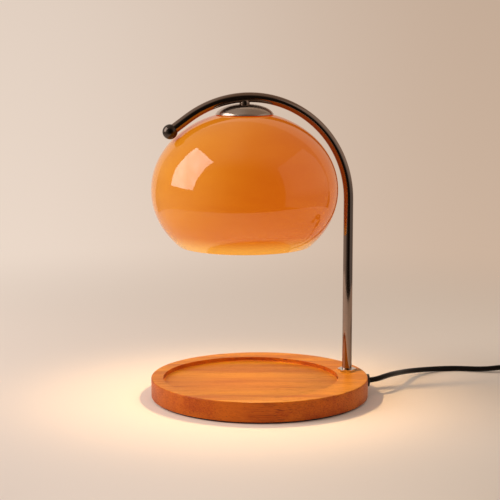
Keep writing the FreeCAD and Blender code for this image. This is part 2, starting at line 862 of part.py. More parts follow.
def arc_slot(radius, low, high):
    """The space that both pins sweep, as round bars of a radius, from locked to free."""

    def at(distance, angle):
        turned = math.radians(angle)
        return V(shade_x + distance * math.cos(turned), distance * math.sin(turned), low)

    slots = []
    for locked in (pin_bearing, pin_bearing + 180):
        freed = locked - twist_angle
        middle = (locked + freed) / 2
        far = pin_offset + radius
        near = pin_offset - radius
        locked_tip = at(pin_offset, locked) + (at(1, locked + 90) - at(0, 0)) * radius
        freed_tip = at(pin_offset, freed) + (at(1, freed - 90) - at(0, 0)) * radius
        outline = [
            Part.Arc(at(far, freed), at(far, middle), at(far, locked)).toShape(),
            Part.Arc(at(far, locked), locked_tip, at(near, locked)).toShape(),
            Part.Arc(at(near, locked), at(near, middle), at(near, freed)).toShape(),
            Part.Arc(at(near, freed), freed_tip, at(far, freed)).toShape(),
        ]
        slots.append(Part.Face(Part.Wire(outline)).extrude(V(0, 0, high - low)))
    return slots


def make_lamp_holder():
    body = disc(holder_radius, holder_bottom, holder_top, shade_axis)
    body = body.makeChamfer(holder_edge, round_edges(body, holder_radius))
    web_top = holder_bottom + pin_web
    for slot in arc_slot(pin_neck_radius + free, holder_bottom - past, web_top + past):
        body = body.cut(slot)
    for slot in arc_slot(pin_head_radius + free, web_top, web_top + pin_cavity):
        body = body.cut(slot)
    for place in pin_places(-twist_angle):
        body = body.cut(disc(pin_head_radius + free, holder_bottom - past, web_top + past, place))
    for place in holder_screw_places():
        pilot_bottom = holder_top - holder_screw_depth - pilot_spare
        body = body.cut(disc(holder_screw_radius + thread_gap, pilot_bottom, holder_top + past, place))
    return body.cut(disc(lead_radius + slip, holder_top - lead_entry_depth, holder_top + past, shade_axis))


def make_holder_contacts():
    """A brass pad above each locked pin, let into the roof of its cavity."""
    roof = holder_bottom + pin_web + pin_cavity
    pads = []
    for place in pin_places():
        pads.append(
            box(
                V(place.x - contact_width / 2, place.y - contact_length / 2, roof - contact_thickness),
                V(place.x + contact_width / 2, place.y + contact_length / 2, roof),
            )
        )
    return Part.makeCompound(pads)


def make_holder_screws():
    screws = []
    for place in holder_screw_places():
        seat = holder_top + bracket_thickness
        shank = disc(holder_screw_radius, holder_top - holder_screw_depth, seat, place)
        top = seat + holder_screw_head_height
        head = disc(holder_screw_head, seat, top, place)
        reach = holder_screw_head + past
        slot = box(V(-reach, -driver_slot / 2, top - driver_depth), V(reach, driver_slot / 2, top + past))
        slot.translate(place)
        screws.append(shank.fuse(head).cut(slot).removeSplitter())
    return Part.makeCompound(screws)


# ================================================================ reflector lamp
def make_bulb_base():
    low = lamp_top - lamp_base_height
    body = disc(lamp_base_radius, low, lamp_top, shade_axis)
    top_edge = [e for e in round_edges(body, lamp_base_radius) if e.BoundBox.ZMin > lamp_top - 0.01]
    body = body.makeChamfer(lamp_base_edge, top_edge)
    for place in pin_places():
        body = body.cut(disc(pin_neck_radius, lamp_top - pin_root, lamp_top + past, place))
    return body


def make_bulb_pins():
    head_low = holder_bottom + pin_web + free
    pins = []
    for place in pin_places():
        neck = disc(pin_neck_radius, lamp_top - pin_root, head_low, place)
        head = disc(pin_head_radius, head_low, head_low + pin_head_length, place)
        pins.append(neck.fuse(head).removeSplitter())
    return Part.makeCompound(pins)


def make_bulb_reflector():
    """A bell-shaped glass with a straight rim, open at the front."""
    neck = lamp_top - lamp_base_height
    rim_top = lamp_face + lamp_rim_height

    def at(r, z):
        return V(shade_x + r, 0, z)

    def bell(inset):
        wide = bell_radius - inset
        narrow = lamp_base_radius - inset
        middle_z = neck + (rim_top - neck) * bell_middle_height
        middle_r = narrow + (wide - narrow) * bell_middle_width
        return Part.Arc(at(narrow, neck), at(middle_r, middle_z), at(wide, rim_top)).toShape()

    inside = bell(lamp_glass)
    outside = bell(0)
    wide_in = bell_radius - lamp_glass
    edges = [
        outside,
        Part.LineSegment(at(bell_radius, rim_top), at(lamp_face_radius, rim_top)).toShape(),
        Part.LineSegment(at(lamp_face_radius, rim_top), at(lamp_face_radius, lamp_face)).toShape(),
        Part.LineSegment(at(lamp_face_radius, lamp_face), at(wide_in, lamp_face)).toShape(),
        Part.LineSegment(at(wide_in, lamp_face), at(wide_in, rim_top)).toShape(),
        inside,
        Part.LineSegment(at(lamp_base_radius - lamp_glass, neck), at(lamp_base_radius, neck)).toShape(),
    ]
    return Part.Face(Part.Wire(Part.__sortEdges__(edges))).revolve(V(shade_x, 0, 0), UP, 360)


def make_bulb_lens():
    radius = bell_radius - lamp_glass - slip
    low = lamp_face + lens_recess
    return disc(radius, low, low + lens_thickness, shade_axis)


def make_bulb_capsule():
    top = lamp_top - lamp_base_height
    body = disc(capsule_radius, top - capsule_length + capsule_radius, top, shade_axis)
    nose = Part.makeSphere(capsule_radius, V(shade_x, 0, top - capsule_length + capsule_radius))
    return body.fuse(nose).removeSplitter()


# ================================================================ lead and wiring pocket
def make_lamp_lead():
    """One two-core lead from the wiring pocket, up the post, round the arch and down to the holder."""
    offset = shade_x + lead_top_bend - arch_x
    inner = arch_radius - lead_top_bend
    angle = math.degrees(math.acos(offset / inner))
    small = V(arch_x + offset, 0, arch_z + math.sqrt(inner**2 - offset**2))
    foot_centre = V(post_x - lead_foot_bend, 0, lead_height + lead_foot_bend)
    end_x = connector_face - connector_entry
    edges = [
        Part.LineSegment(V(end_x, 0, lead_height), V(foot_centre.x, 0, lead_height)).toShape(),
        arc_edge(foot_centre, lead_foot_bend, -90, 0),
        Part.LineSegment(V(post_x, 0, foot_centre.z), V(post_x, 0, arch_z)).toShape(),
        arc_edge(V(arch_x, 0, arch_z), arch_radius, 0, angle),
        arc_edge(small, lead_top_bend, angle, 180),
        Part.LineSegment(V(shade_x, 0, small.z), V(shade_x, 0, holder_top - lead_entry_depth)).toShape(),
    ]
    return pipe(edges, lead_radius)


def make_connector_block():
    half_l = connector_length / 2
    half_w = connector_width / 2
    low_z = plate_top + connector_lift
    body = box(
        V(connector_x - half_l, connector_y - half_w, low_z),
        V(connector_x + half_l, connector_y + half_w, low_z + connector_height),
    )
    depth = connector_face - connector_entry
    body = body.cut(rod_x(lead_radius + slip, depth, connector_face + past, 0, lead_height))
    return body.cut(rod_x(cord_radius + slip, depth, connector_face + past, connector_cord_y, inner_cord_z))


def inner_cord_points():
    def on_exit(distance, z):
        return (exit_direction.x * distance, exit_direction.y * distance, z)

    return [
        on_exit(base_radius + grommet_flange, cord_exit_z),
        on_exit(base_radius - inner_bend_start, cord_exit_z),
        on_exit(base_radius - inner_bend_end, inner_cord_z),
        (connector_face + inner_straight, connector_cord_y, inner_cord_z),
        (connector_face - connector_entry, connector_cord_y, inner_cord_z),
    ]


def make_cord_inner():
    return cord_piece("cord_inner", inner_cord_points())


def make_cord_clamp():
    """A saddle that holds the cord up against the roof of the wiring pocket."""
    low = clamp_x - clamp_width / 2
    high = clamp_x + clamp_width / 2
    room = cord_radius + slip
    outer = room + clamp_wall
    reach = clamp_ear + clamp_screw_head + clamp_ear_margin
    ears = box(V(low, clamp_y - reach, pocket_top - clamp_wall), V(high, clamp_y + reach, pocket_top))
    saddle = rod_x(outer, low, high, clamp_y, inner_cord_z)
    saddle = saddle.fuse(box(V(low, clamp_y - outer, inner_cord_z), V(high, clamp_y + outer, pocket_top)))
    body = ears.fuse(saddle)
    above = pocket_top + outer
    body = body.cut(box(V(low - past, clamp_y - reach, pocket_top), V(high + past, clamp_y + reach, above)))
    body = body.cut(pipe(rounded_path(inner_cord_points())[0], room))
    body = body.cut(box(V(low - past, clamp_y - room, inner_cord_z), V(high + past, clamp_y + room, above)))
    for place in clamp_screw_places():
        body = body.cut(disc(clamp_screw_radius + drill_gap, plate_top, pocket_top + past, place))
    return body.removeSplitter()


def make_cord_clamp_screws():
    screws = []
    for place in clamp_screw_places():
        seat = pocket_top - clamp_wall
        shank = disc(clamp_screw_radius, seat, pocket_top + clamp_screw_bite, place)
        head = disc(clamp_screw_head, seat - clamp_screw_head_height, seat, place)
        screws.append(shank.fuse(head).removeSplitter())
    return Part.makeCompound(screws)


def make_cord_grommet():
    """A snap-in bush: an outer flange, a shank through the wood and a barb behind it."""
    face = base_radius
    flange = rod_x(grommet_flange_radius, face, face + grommet_flange, 0, cord_exit_z)
    flange_front = face + grommet_flange
    rim = [e for e in round_edges(flange, grommet_flange_radius) if e.BoundBox.XMin > flange_front - 0.01]
    flange = flange.makeFillet(grommet_flange_round, rim)
    shank = rod_x(grommet_shank_radius, channel_end, face, 0, cord_exit_z)
    barb_end = channel_end - grommet_barb
    barb = rod_x(grommet_barb_radius, barb_end, channel_end, 0, cord_exit_z)
    body = flange.fuse(shank).fuse(barb)
    body = body.cut(rod_x(cord_radius + slip, barb_end - past, flange_front + past, 0, cord_exit_z))
    return along_exit(body.removeSplitter())


# ================================================================ in-line dimmer
def dimmer_outline(length, width, low, high):
    """An upright block with half-round ends."""
    radius = width / 2
    half = length / 2 - radius
    near = V(dimmer_x - half, dimmer_y - radius, low)
    far = V(dimmer_x + half, dimmer_y + radius, high)
    middle = box(near, far)
    left = disc(radius, low, high, V(dimmer_x - half, dimmer_y, 0))
    right = disc(radius, low, high, V(dimmer_x + half, dimmer_y, 0))
    return middle.fuse(left).fuse(right).removeSplitter()


def dimmer_shell():
    outer = dimmer_outline(dimmer_length, dimmer_width, 0, dimmer_height)
    outer = outer.makeFillet(dimmer_edge_round, [e for e in outer.Edges if e.BoundBox.ZLength < 0.01])
    seam_low = dimmer_split - dimmer_seam
    seam_high = dimmer_split + dimmer_seam
    around = dimmer_outline(dimmer_length + past, dimmer_width + past, seam_low, seam_high)
    pulled_in = 2 * dimmer_seam
    kept = dimmer_outline(dimmer_length - pulled_in, dimmer_width - pulled_in, seam_low, seam_high)
    outer = outer.cut(around.cut(kept))
    inner_length = dimmer_length - 2 * dimmer_wall
    inner_width = dimmer_width - 2 * dimmer_wall
    inner = dimmer_outline(inner_length, inner_width, dimmer_wall, dimmer_height - dimmer_wall)
    left = dimmer_start - dimmer_collar
    right = dimmer_end + dimmer_collar
    left_root = dimmer_start + dimmer_collar_root
    right_root = dimmer_end - dimmer_collar_root
    for start, end in ((left, left_root), (right_root, right)):
        outer = outer.fuse(rod_x(dimmer_collar_radius, start, end, dimmer_y, dimmer_cord_z))
    bore = rod_x(cord_radius + slip, left - past, right + past, dimmer_y, dimmer_cord_z)
    return outer.cut(inner).cut(bore)


def dimmer_half(low, high):
    """The part of the case between two heights."""
    across = V(dimmer_length, dimmer_width, 0)
    middle = V(dimmer_x, dimmer_y, 0)
    return dimmer_shell().common(box(middle - across + UP * low, middle + across + UP * high))


def dimmer_screw_places():
    for side in (-1, 1):
        yield V(dimmer_x + side * dimmer_screw_x, dimmer_y + side * dimmer_screw_y, 0)


def make_dimmer_lower_case():
    body = dimmer_half(-past, dimmer_split)
    for place in dimmer_screw_places():
        boss = disc(dimmer_boss_radius, dimmer_screw_recess, dimmer_split, place)
        body = body.fuse(boss)
        body = body.cut(disc(dimmer_screw_radius + drill_gap, -past, dimmer_split + past, place))
        body = body.cut(disc(dimmer_screw_head + drill_gap, -past, dimmer_screw_seat, place))
    return body.removeSplitter()


def make_dimmer_upper_case():
    body = dimmer_half(dimmer_split, dimmer_height + past)
    for place in dimmer_screw_places():
        boss = disc(dimmer_boss_radius, dimmer_split, dimmer_height - dimmer_wall / 2, place)
        body = body.fuse(boss)
        pilot_top = dimmer_screw_recess + dimmer_screw_length + pilot_spare
        body = body.cut(disc(dimmer_screw_radius + thread_gap, dimmer_split - past, pilot_top, place))
    body = body.cut(disc(pot_collar_radius + slip, dimmer_split, dimmer_height + past, dimmer_axis))
    return body.removeSplitter()


def make_dimmer_board():
    low = V(dimmer_x - board_length / 2, dimmer_y - board_width / 2, dimmer_wall + board_lift)
    high = V(dimmer_x + board_length / 2, dimmer_y + board_width / 2, board_top)
    body = box(low, high)
    for place in dimmer_screw_places():
        body = body.cut(disc(dimmer_boss_radius + free, 0, dimmer_height, place))
    return body


def make_dimmer_pot():
    """The potentiometer on the board, with the collar that centres it in the case."""
    half = pot_size / 2
    body = box(
        V(dimmer_x - half, dimmer_y - half, board_top),
        V(dimmer_x + half, dimmer_y + half, board_top + pot_height),
    )
    body = body.fuse(disc(pot_collar_radius, board_top + pot_height, dimmer_height, dimmer_axis))
    body = body.cut(disc(shaft_radius + slip, shaft_seat, dimmer_height + past, dimmer_axis))
    return body.removeSplitter()


def make_dimmer_shaft():
    return disc(shaft_radius, shaft_seat + free, knob_top - knob_skin, dimmer_axis)


def make_dimmer_knob():
    body = disc(knob_radius, knob_bottom, knob_top, dimmer_axis)
    top_rim = [e for e in round_edges(body, knob_radius) if e.BoundBox.ZMin > knob_top - 0.01]
    body = body.makeFillet(knob_round, top_rim)
    for k in range(knob_grooves):
        angle = math.radians(360.0 * k / knob_grooves)
        place = dimmer_axis + V(knob_radius * math.cos(angle), knob_radius * math.sin(angle), 0)
        body = body.cut(disc(knob_groove_radius, knob_bottom - past, knob_top - knob_round, place))
    pointer = box(
        V(pointer_start, -pointer_width / 2, knob_top - pointer_depth),
        V(knob_radius - pointer_margin, pointer_width / 2, knob_top + past),
    )
    pointer.rotate(V(0, 0, 0), UP, pointer_turn)
    pointer.translate(dimmer_axis)
    body = body.cut(pointer)
    return body.cut(disc(shaft_radius, knob_bottom - past, knob_top - knob_skin, dimmer_axis))


def make_dimmer_screws():
    screws = []
    for place in dimmer_screw_places():
        head = disc(dimmer_screw_head, dimmer_screw_recess, dimmer_screw_seat, place)
        shank_top = dimmer_screw_recess + dimmer_screw_length
        shank = disc(dimmer_screw_radius, dimmer_screw_seat, shank_top, place)
        cross = driver_cross(dimmer_screw_cross, dimmer_screw_recess, place)
        screws.append(head.fuse(shank).cut(cross).removeSplitter())
    return Part.makeCompound(screws)


# ================================================================ cord, coil and plug
def make_cord_coil():
    """The outer shape of the wound cord."""
    c = coil_corner
    outline = [
        (coil_inner, c),
        (coil_inner + c, 0),
        (coil_outer - c, 0),
        (coil_outer, c),
        (coil_outer, coil_height - c),
        (coil_outer - c, coil_height),
        (coil_inner + c, coil_height),
        (coil_inner, coil_height - c),
    ]
    return lathe(outline, V(coil_x, coil_y, 0))


def plug_section(x, half_width, half_thickness, corner):
    """A rounded rectangle across X, as one wire."""
    y, z = plug_y, plug_z
    w, t, c = half_width, half_thickness, corner
    k = c * (1 - math.sqrt(0.5))
    edges = []
    corner_signs = [(1, 1), (-1, 1), (-1, -1), (1, -1)]
    stops = []
    for sy, sz in corner_signs:
        first = V(x, y + sy * w, z + sz * (t - c))
        second = V(x, y + sy * (w - c), z + sz * t)
        middle = V(x, y + sy * (w - k), z + sz * (t - k))
        stops.append((first, middle, second) if sy * sz > 0 else (second, middle, first))
    for (a, m, b), (a2, _, _) in zip(stops, stops[1:] + stops[:1]):
        edges.append(Part.Arc(a, m, b).toShape())
        edges.append(Part.LineSegment(b, a2).toShape())
    return Part.Wire(edges)


def blade_places():
    for side in (-1, 1):
        yield plug_y + side * blade_spacing / 2


def blade_block(y, start, end):
    """A blade's flat bar, from one place along X to another."""
    half_t = blade_thickness / 2
    half_w = blade_width / 2
    return box(V(start, y - half_t, plug_z - half_w), V(end, y + half_t, plug_z + half_w))


def make_plug_body():
    """A moulded grip that narrows towards the cord."""
    front = plug_body_end - plug_length
    half_w = plug_width / 2
    half_t = plug_thickness / 2
    sections = [
        plug_section(front + plug_length * along, half_w * wide, half_t * thick, plug_round)
        for along, wide, thick in plug_sections
    ]
    body = Part.makeLoft(sections, True, False)
    for y in blade_places():
        body = body.cut(blade_block(y, front - past, front + blade_root))
    return body


def make_plug_relief():
    """A ribbed cone round the cord, moulded on the back of the plug."""
    start = V(plug_body_end, plug_y, plug_z)
    body = Part.makeCone(relief_thick, relief_thin, relief_length, start, V(1, 0, 0))
    for k in range(relief_ribs):
        share = (k + 1) / (relief_ribs + 1)
        start = plug_body_end + relief_length * share - relief_groove / 2
        end = start + relief_groove
        radius = relief_thick + (relief_thin - relief_thick) * share
        groove = rod_x(relief_thick + past, start, end, plug_y, plug_z)
        core = rod_x(radius - relief_groove_depth, start - past, end + past, plug_y, plug_z)
        body = body.cut(groove.cut(core))
    return body


def make_plug_blades():
    front = plug_body_end - plug_length
    tip = front - blade_length
    blades = []
    for y in blade_places():
        blade = blade_block(y, tip, front + blade_root)
        at_tip = [e for e in blade.Edges if abs(e.CenterOfMass.x - tip) < 0.01]
        corners = [e for e in at_tip if abs(e.Length - blade_thickness) < 0.01]
        blade = blade.makeFillet(blade_tip_round, corners)
        hole_start = V(tip + blade_hole_inset, y - blade_thickness, plug_z)
        hole = Part.makeCylinder(blade_hole_radius, 2 * blade_thickness, hole_start, V(0, 1, 0))
        blades.append(blade.cut(hole))
    return Part.makeCompound(blades)


coil = make_cord_coil()
nodes = {
    "foot_pad": make_foot_pad(),
    "wood_base": make_wood_base(),
    "ballast_plate": make_ballast_plate(),
    "plate_screws": make_plate_screws(),
    "arch_tube": make_arch_tube(),
    "end_ball": make_end_ball(),
    "foot_nut": make_foot_nut(),
    "post_stud": make_post_stud(),
    "post_washer": make_post_washer(),
    "post_lock_washer": make_post_lock_washer(),
    "post_nut": make_post_nut(),
    "glass_shade": make_glass_shade(),
    "hanger_bead": make_hanger_bead(),
    "shade_nipple": make_shade_nipple(),
    "shade_cap": make_shade_cap(),
    "shade_gasket": make_shade_gasket(),
    "shade_bush": make_shade_bush(),
    "clamp_washer": make_clamp_washer(),
    "nipple_nuts": make_nipple_nuts(),
    "holder_bracket": make_holder_bracket(),
    "lamp_holder": make_lamp_holder(),
    "holder_contacts": make_holder_contacts(),
    "holder_screws": make_holder_screws(),
    "bulb_base": make_bulb_base(),
    "bulb_pins": make_bulb_pins(),
    "bulb_reflector": make_bulb_reflector(),
    "bulb_lens": make_bulb_lens(),
    "bulb_capsule": make_bulb_capsule(),
    "lamp_lead": make_lamp_lead(),
    "connector_block": make_connector_block(),
    "cord_inner": make_cord_inner(),
    "cord_clamp": make_cord_clamp(),
    "cord_clamp_screws": make_cord_clamp_screws(),
    "cord_grommet": make_cord_grommet(),
    "dimmer_lower_case": make_dimmer_lower_case(),
    "dimmer_upper_case": make_dimmer_upper_case(),
    "dimmer_board": make_dimmer_board(),
    "dimmer_pot": make_dimmer_pot(),
    "dimmer_shaft": make_dimmer_shaft(),
    "dimmer_knob": make_dimmer_knob(),
    "dimmer_screws": make_dimmer_screws(),
    "cord_run": cord_piece("cord_run", run_route),
    "cord_link": cord_piece("cord_link", link_route).cut(coil),
    "cord_coil": coil,
    "cord_tail": cord_piece("cord_tail", tail_route).cut(coil),
    "plug_body": make_plug_body(),
    "plug_relief": make_plug_relief(),
    "plug_blades": make_plug_blades(),
}
for name, shape in nodes.items():
    save(name, shape)
print("facets in all", facets, "nodes", len(nodes))
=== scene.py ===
"""Looks of a candle warmer lamp, worked out around its packed solids.

Metres, in the solids' own frame: the origin is the middle of the base on the surface that it
stands on, +Z is up, and the post stands at +X.
"""

import math

import bmesh
import bpy
import numpy as np
from bpy.props import FloatProperty, FloatVectorProperty, IntProperty, PointerProperty
from bpy.types import Operator, Panel, PropertyGroup
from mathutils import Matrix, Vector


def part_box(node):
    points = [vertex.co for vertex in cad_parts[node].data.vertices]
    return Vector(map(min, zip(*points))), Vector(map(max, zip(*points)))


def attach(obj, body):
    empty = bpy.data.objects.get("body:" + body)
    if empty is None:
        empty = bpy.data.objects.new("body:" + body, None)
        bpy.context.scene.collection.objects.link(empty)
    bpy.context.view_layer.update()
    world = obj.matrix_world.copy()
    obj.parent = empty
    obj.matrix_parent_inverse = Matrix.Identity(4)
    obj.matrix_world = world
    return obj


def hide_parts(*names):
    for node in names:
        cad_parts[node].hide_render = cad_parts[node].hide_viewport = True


bl_info = {
    "name": "Candle warmer lamp",
    "version": (1, 0, 0),
    "blender": (4, 5, 0),
    "location": "3D Viewport > Sidebar > Lamp",
    "description": "Finishes, cords and studio for a candle warmer lamp with a glass shade",
    "category": "Object",
}

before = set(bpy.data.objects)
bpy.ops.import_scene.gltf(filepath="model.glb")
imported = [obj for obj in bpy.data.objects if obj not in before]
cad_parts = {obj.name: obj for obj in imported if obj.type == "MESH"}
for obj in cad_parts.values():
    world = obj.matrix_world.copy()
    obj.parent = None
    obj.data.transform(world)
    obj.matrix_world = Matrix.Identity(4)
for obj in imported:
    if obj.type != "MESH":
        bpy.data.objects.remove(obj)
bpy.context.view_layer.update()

MM = 0.001
TURN = 2 * math.pi

# ---------------------------------------------------------------- places read from the solids
shade_low, shade_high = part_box("glass_shade")
shade_middle = (shade_low + shade_high) / 2
shade_radius = (shade_high.x - shade_low.x) / 2
lens_low, lens_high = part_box("bulb_lens")
lens_middle = (lens_low + lens_high) / 2
lens_radius = (lens_high.x - lens_low.x) / 2


def screen(red, green, blue):
    """A colour in screen levels from 0 to 255, as the linear numbers that shaders take.

    Below 0.04045 a level is divided by 12.92; above, it is ((level + 0.055) / 1.055) ** 2.4.
    """
    level = np.array([red, green, blue]) / 255
    curve = ((level + 0.055) / 1.055) ** 2.4
    return tuple(np.where(level <= 0.04045, level / 12.92, curve).tolist())


# ---------------------------------------------------------------- settings
class StageSettings(PropertyGroup):
    """Floor, lights and camera. The studio's own axes are right, away and up for the camera."""

    turn: FloatProperty(
        name="Turn",
        description="How far the camera's view is turned from +Y towards +X",
        default=math.radians(14.6),
        subtype="ANGLE",
    )
    drop: FloatProperty(
        name="Drop",
        description="How far the camera looks down",
        default=math.radians(8.94),
        subtype="ANGLE",
    )
    side: FloatProperty(
        name="Side", description="Camera's place to the right", default=-0.00886, unit="LENGTH"
    )
    distance: FloatProperty(
        name="Distance", description="Camera's place before the base", default=1.4439, unit="LENGTH"
    )
    height: FloatProperty(
        name="Height", description="Camera's place above the floor", default=0.3643, unit="LENGTH"
    )
    lens: FloatProperty(name="Lens", description="Focal length in millimetres", default=115.2)
    floor_radius: FloatProperty(
        name="Floor radius", description="Radius of the round floor", default=3.0, unit="LENGTH"
    )
    # Painted light: the backdrop is lighter at the left, nearer the key light, and darker at the
    # right
    lit_left_tone: FloatVectorProperty(
        name="Left tone",
        description="Backdrop at the left",
        default=screen(229, 211, 196),
        subtype="COLOR",
    )
    shaded_right_tone: FloatVectorProperty(
        name="Right tone",
        description="Backdrop at the right",
        default=screen(199, 174, 153),
        subtype="COLOR",
    )
    floor_left: FloatVectorProperty(
        name="Floor left",
        description="Floor near the lamp, at its left",
        default=screen(236, 221, 209),
        subtype="COLOR",
    )
    floor_right: FloatVectorProperty(
        name="Floor right",
        description="Floor near the lamp, at its right",
        default=screen(238, 221, 204),
        subtype="COLOR",
    )
    table_width: FloatProperty(
        name="Table width",
        description="Half width of the lit table that metal and glass show",
        default=0.60,
        unit="LENGTH",
    )
    table_depth: FloatProperty(
        name="Table depth", description="Half depth of that table", default=0.52, unit="LENGTH"
    )
    key_power: FloatProperty(
        name="Key", description="Power of the large soft light", default=13.7, unit="POWER"
    )
    fill_power: FloatProperty(
        name="Fill", description="Power of the pale panel", default=0.42, unit="POWER"
    )
    world_level: FloatProperty(
        name="World", description="Level of the light from all round", default=0.30
    )


class BaseSettings(PropertyGroup):
    """Stained wood of the base."""

    light: FloatVectorProperty(
        name="Light wood",
        description="Wood between the grain lines",
        default=screen(196, 97, 11),
        subtype="COLOR",
    )
    dark: FloatVectorProperty(
        name="Dark wood",
        description="Wood in the grain lines",
        default=screen(168, 68, 6),
        subtype="COLOR",
    )
    pore: FloatVectorProperty(
        name="Pores", description="Short open pores", default=screen(104, 38, 12), subtype="COLOR"
    )
    # Painted lamp light: the top faces' colour is multiplied by this, for the lamp's light falling
    # on them
    painted_top_light: FloatVectorProperty(
        name="Painted top light",
        description="Change of the wood where lamp light falls on it",
        default=(1.18, 2.0, 2.6),
        subtype="COLOR",
    )
    grain_turn: FloatProperty(
        name="Grain turn",
        description="Turn of the grain from +X, clockwise",
        default=math.radians(14.6),
        subtype="ANGLE",
    )


class MetalSettings(PropertyGroup):
    """Plated tube, cap, ball and fasteners."""

    dark_chrome: FloatVectorProperty(
        name="Dark chrome",
        description="Tube and bead",
        default=(0.325, 0.237, 0.189),
        subtype="COLOR",
    )
    spun: FloatVectorProperty(
        name="Cap", description="Spun cap on the shade", default=(0.56, 0.46, 0.39), subtype="COLOR"
    )
    gunmetal: FloatVectorProperty(
        name="Gunmetal",
        description="Ball at the tube's end",
        default=(0.085, 0.066, 0.056),
        subtype="COLOR",
    )
    chrome: FloatVectorProperty(
        name="Chrome",
        description="Nut at the post's foot",
        default=(0.80, 0.77, 0.74),
        subtype="COLOR",
    )
    zinc: FloatVectorProperty(
        name="Zinc", description="Hidden fasteners", default=(0.56, 0.58, 0.60), subtype="COLOR"
    )


class ShadeSettings(PropertyGroup):
    """Cased glass: coloured outside, opal inside."""

    glass: FloatVectorProperty(
        name="Glass",
        description="Coloured outer layer",
        default=screen(174, 143, 30),
        subtype="COLOR",
    )
    opal: FloatVectorProperty(
        name="Opal", description="White inner layer", default=screen(248, 238, 222), subtype="COLOR"
    )
    glow: FloatVectorProperty(
        name="Glow",
        description="Lamp light that comes through the glass",
        default=(0.425, 0.006, 0.0),
        subtype="COLOR",
    )
    rim_glow: FloatVectorProperty(
        name="Rim glow",
        description="Lamp light at the rim, where the glass is cut",
        default=(0.62, 0.25, 0.055),
        subtype="COLOR",
    )


class LampSettings(PropertyGroup):
    """Reflector lamp and its holder."""

    light: FloatVectorProperty(
        name="Lamp light",
        description="Colour of the lit lamp",
        default=(1.0, 0.70, 0.37),
        subtype="COLOR",
    )
    power: FloatProperty(
        name="Power", description="Light that leaves the lens", default=1.55, unit="POWER"
    )
    spread: FloatProperty(
        name="Spread",
        description="Full angle of the beam",
        default=math.radians(124),
        subtype="ANGLE",
    )
    core: FloatProperty(
        name="Core",
        description="Half angle of the beam's weaker middle",
        default=math.radians(29.5),
        subtype="ANGLE",
    )
    lens_rings: IntProperty(
        name="Rings", description="Rings of pillows in the cover glass", default=8, min=3
    )
    lens_facets: IntProperty(name="Pillows", description="Pillows in each ring", default=32, min=12)
    core_level: FloatProperty(
        name="Core level", description="Light in the beam's middle, of that round it", default=0.40
    )


class CordSettings(PropertyGroup):
    """Mains cord, its put-away coil and the pieces on it."""

    diameter: FloatProperty(
        name="Diameter", description="Across the sheath", default=5 * MM, unit="LENGTH"
    )
    colour: FloatVectorProperty(
        name="Sheath", description="Cord's sheath", default=(0.007, 0.005, 0.004), subtype="COLOR"
    )
    turn_points: IntProperty(
        name="Points", description="Route points in each turn of the coil", default=16, min=12
    )
    plastic: FloatVectorProperty(
        name="Plastic",
        description="Dimmer and plug",
        default=(0.014, 0.013, 0.013),
        subtype="COLOR",
    )


# ---------------------------------------------------------------- node helpers
MIX_FIRST, MIX_SECOND, MIX_COLOUR = 6, 7, 2     # colour sockets of a Mix node


def put(tree, kind, sockets=None, **settings):
    """Adds one node. settings are its properties, and sockets its inputs by name or number: each
    is a plain value or another node's output."""
    node = tree.nodes.new(kind)
    for name, value in settings.items():
        setattr(node, name, value)
    for key, value in (sockets or {}).items():
        if isinstance(value, bpy.types.NodeSocket):
            tree.links.new(value, node.inputs[key])
        else:
            node.inputs[key].default_value = value
    return node


def calc(tree, operation, *values, clamp=False):
    """One Math node over its values."""
    sockets = dict(enumerate(values))
    node = put(tree, "ShaderNodeMath", sockets, operation=operation, use_clamp=clamp)
    return node.outputs["Value"]


def product(tree, *values):
    """The values multiplied."""
    result = values[0]
    for value in values[1:]:
        result = calc(tree, "MULTIPLY", result, value)
    return result


def remap(tree, value, low, high, to_low=0.0, to_high=1.0, smooth=False):
    """value, carried from low-high to to_low-to_high and held at the ends."""
    sockets = {"Value": value, "From Min": low, "From Max": high}
    sockets.update({"To Min": to_low, "To Max": to_high})
    kind = "SMOOTHSTEP" if smooth else "LINEAR"
    return put(tree, "ShaderNodeMapRange", sockets, interpolation_type=kind).outputs["Result"]


def mix(tree, factor, first, second, mode="MIX"):
    """Colour between first and second."""
    sockets = {"Factor": factor, MIX_FIRST: rgba(first), MIX_SECOND: rgba(second)}
    node = put(tree, "ShaderNodeMix", sockets, data_type="RGBA", blend_type=mode)
    return node.outputs[MIX_COLOUR]


def rgba(colour):
    """A plain colour with full alpha; a socket is left as it is."""
    return colour if isinstance(colour, bpy.types.NodeSocket) else (*tuple(colour)[:3], 1.0)


def noise(tree, vector, scale, detail=2.0, roughness=0.5):
    """Fractal noise from 0 to 1."""
    sockets = {"Vector": vector, "Scale": scale, "Detail": detail, "Roughness": roughness}
    return put(tree, "ShaderNodeTexNoise", sockets).outputs["Fac"]


def stretched_noise(tree, vector, scales, detail, roughness, turn=0.0):
    """Noise over a vector turned about Z, with a scale of its own on each axis."""
    turned = put(tree, "ShaderNodeMapping", {"Vector": vector, "Rotation": (0, 0, turn)}).outputs[0]
    scaled = put(tree, "ShaderNodeMapping", {"Vector": turned, "Scale": scales}).outputs[0]
    return noise(tree, scaled, 1.0, detail, roughness)


def bump(tree, height, distance, strength=1.0):
    """Normal raised by height, of which 1 stands for distance in metres."""
    sockets = {"Height": height, "Distance": distance, "Strength": strength}
    return put(tree, "ShaderNodeBump", sockets).outputs["Normal"]


def object_place(tree):
    """Object coordinates."""
    return put(tree, "ShaderNodeTexCoord").outputs["Object"]


def parts(tree, vector):
    """X, Y and Z of a vector."""
    return put(tree, "ShaderNodeSeparateXYZ", {"Vector": vector}).outputs


def facing_up(tree):
    """How far the surface faces up: 1 where it is level, 0 where it is upright."""
    return parts(tree, put(tree, "ShaderNodeNewGeometry").outputs["Normal"])["Z"]


def vector_length(tree, vector):
    """Length of a vector."""
    return put(tree, "ShaderNodeVectorMath", {0: vector}, operation="LENGTH").outputs["Value"]


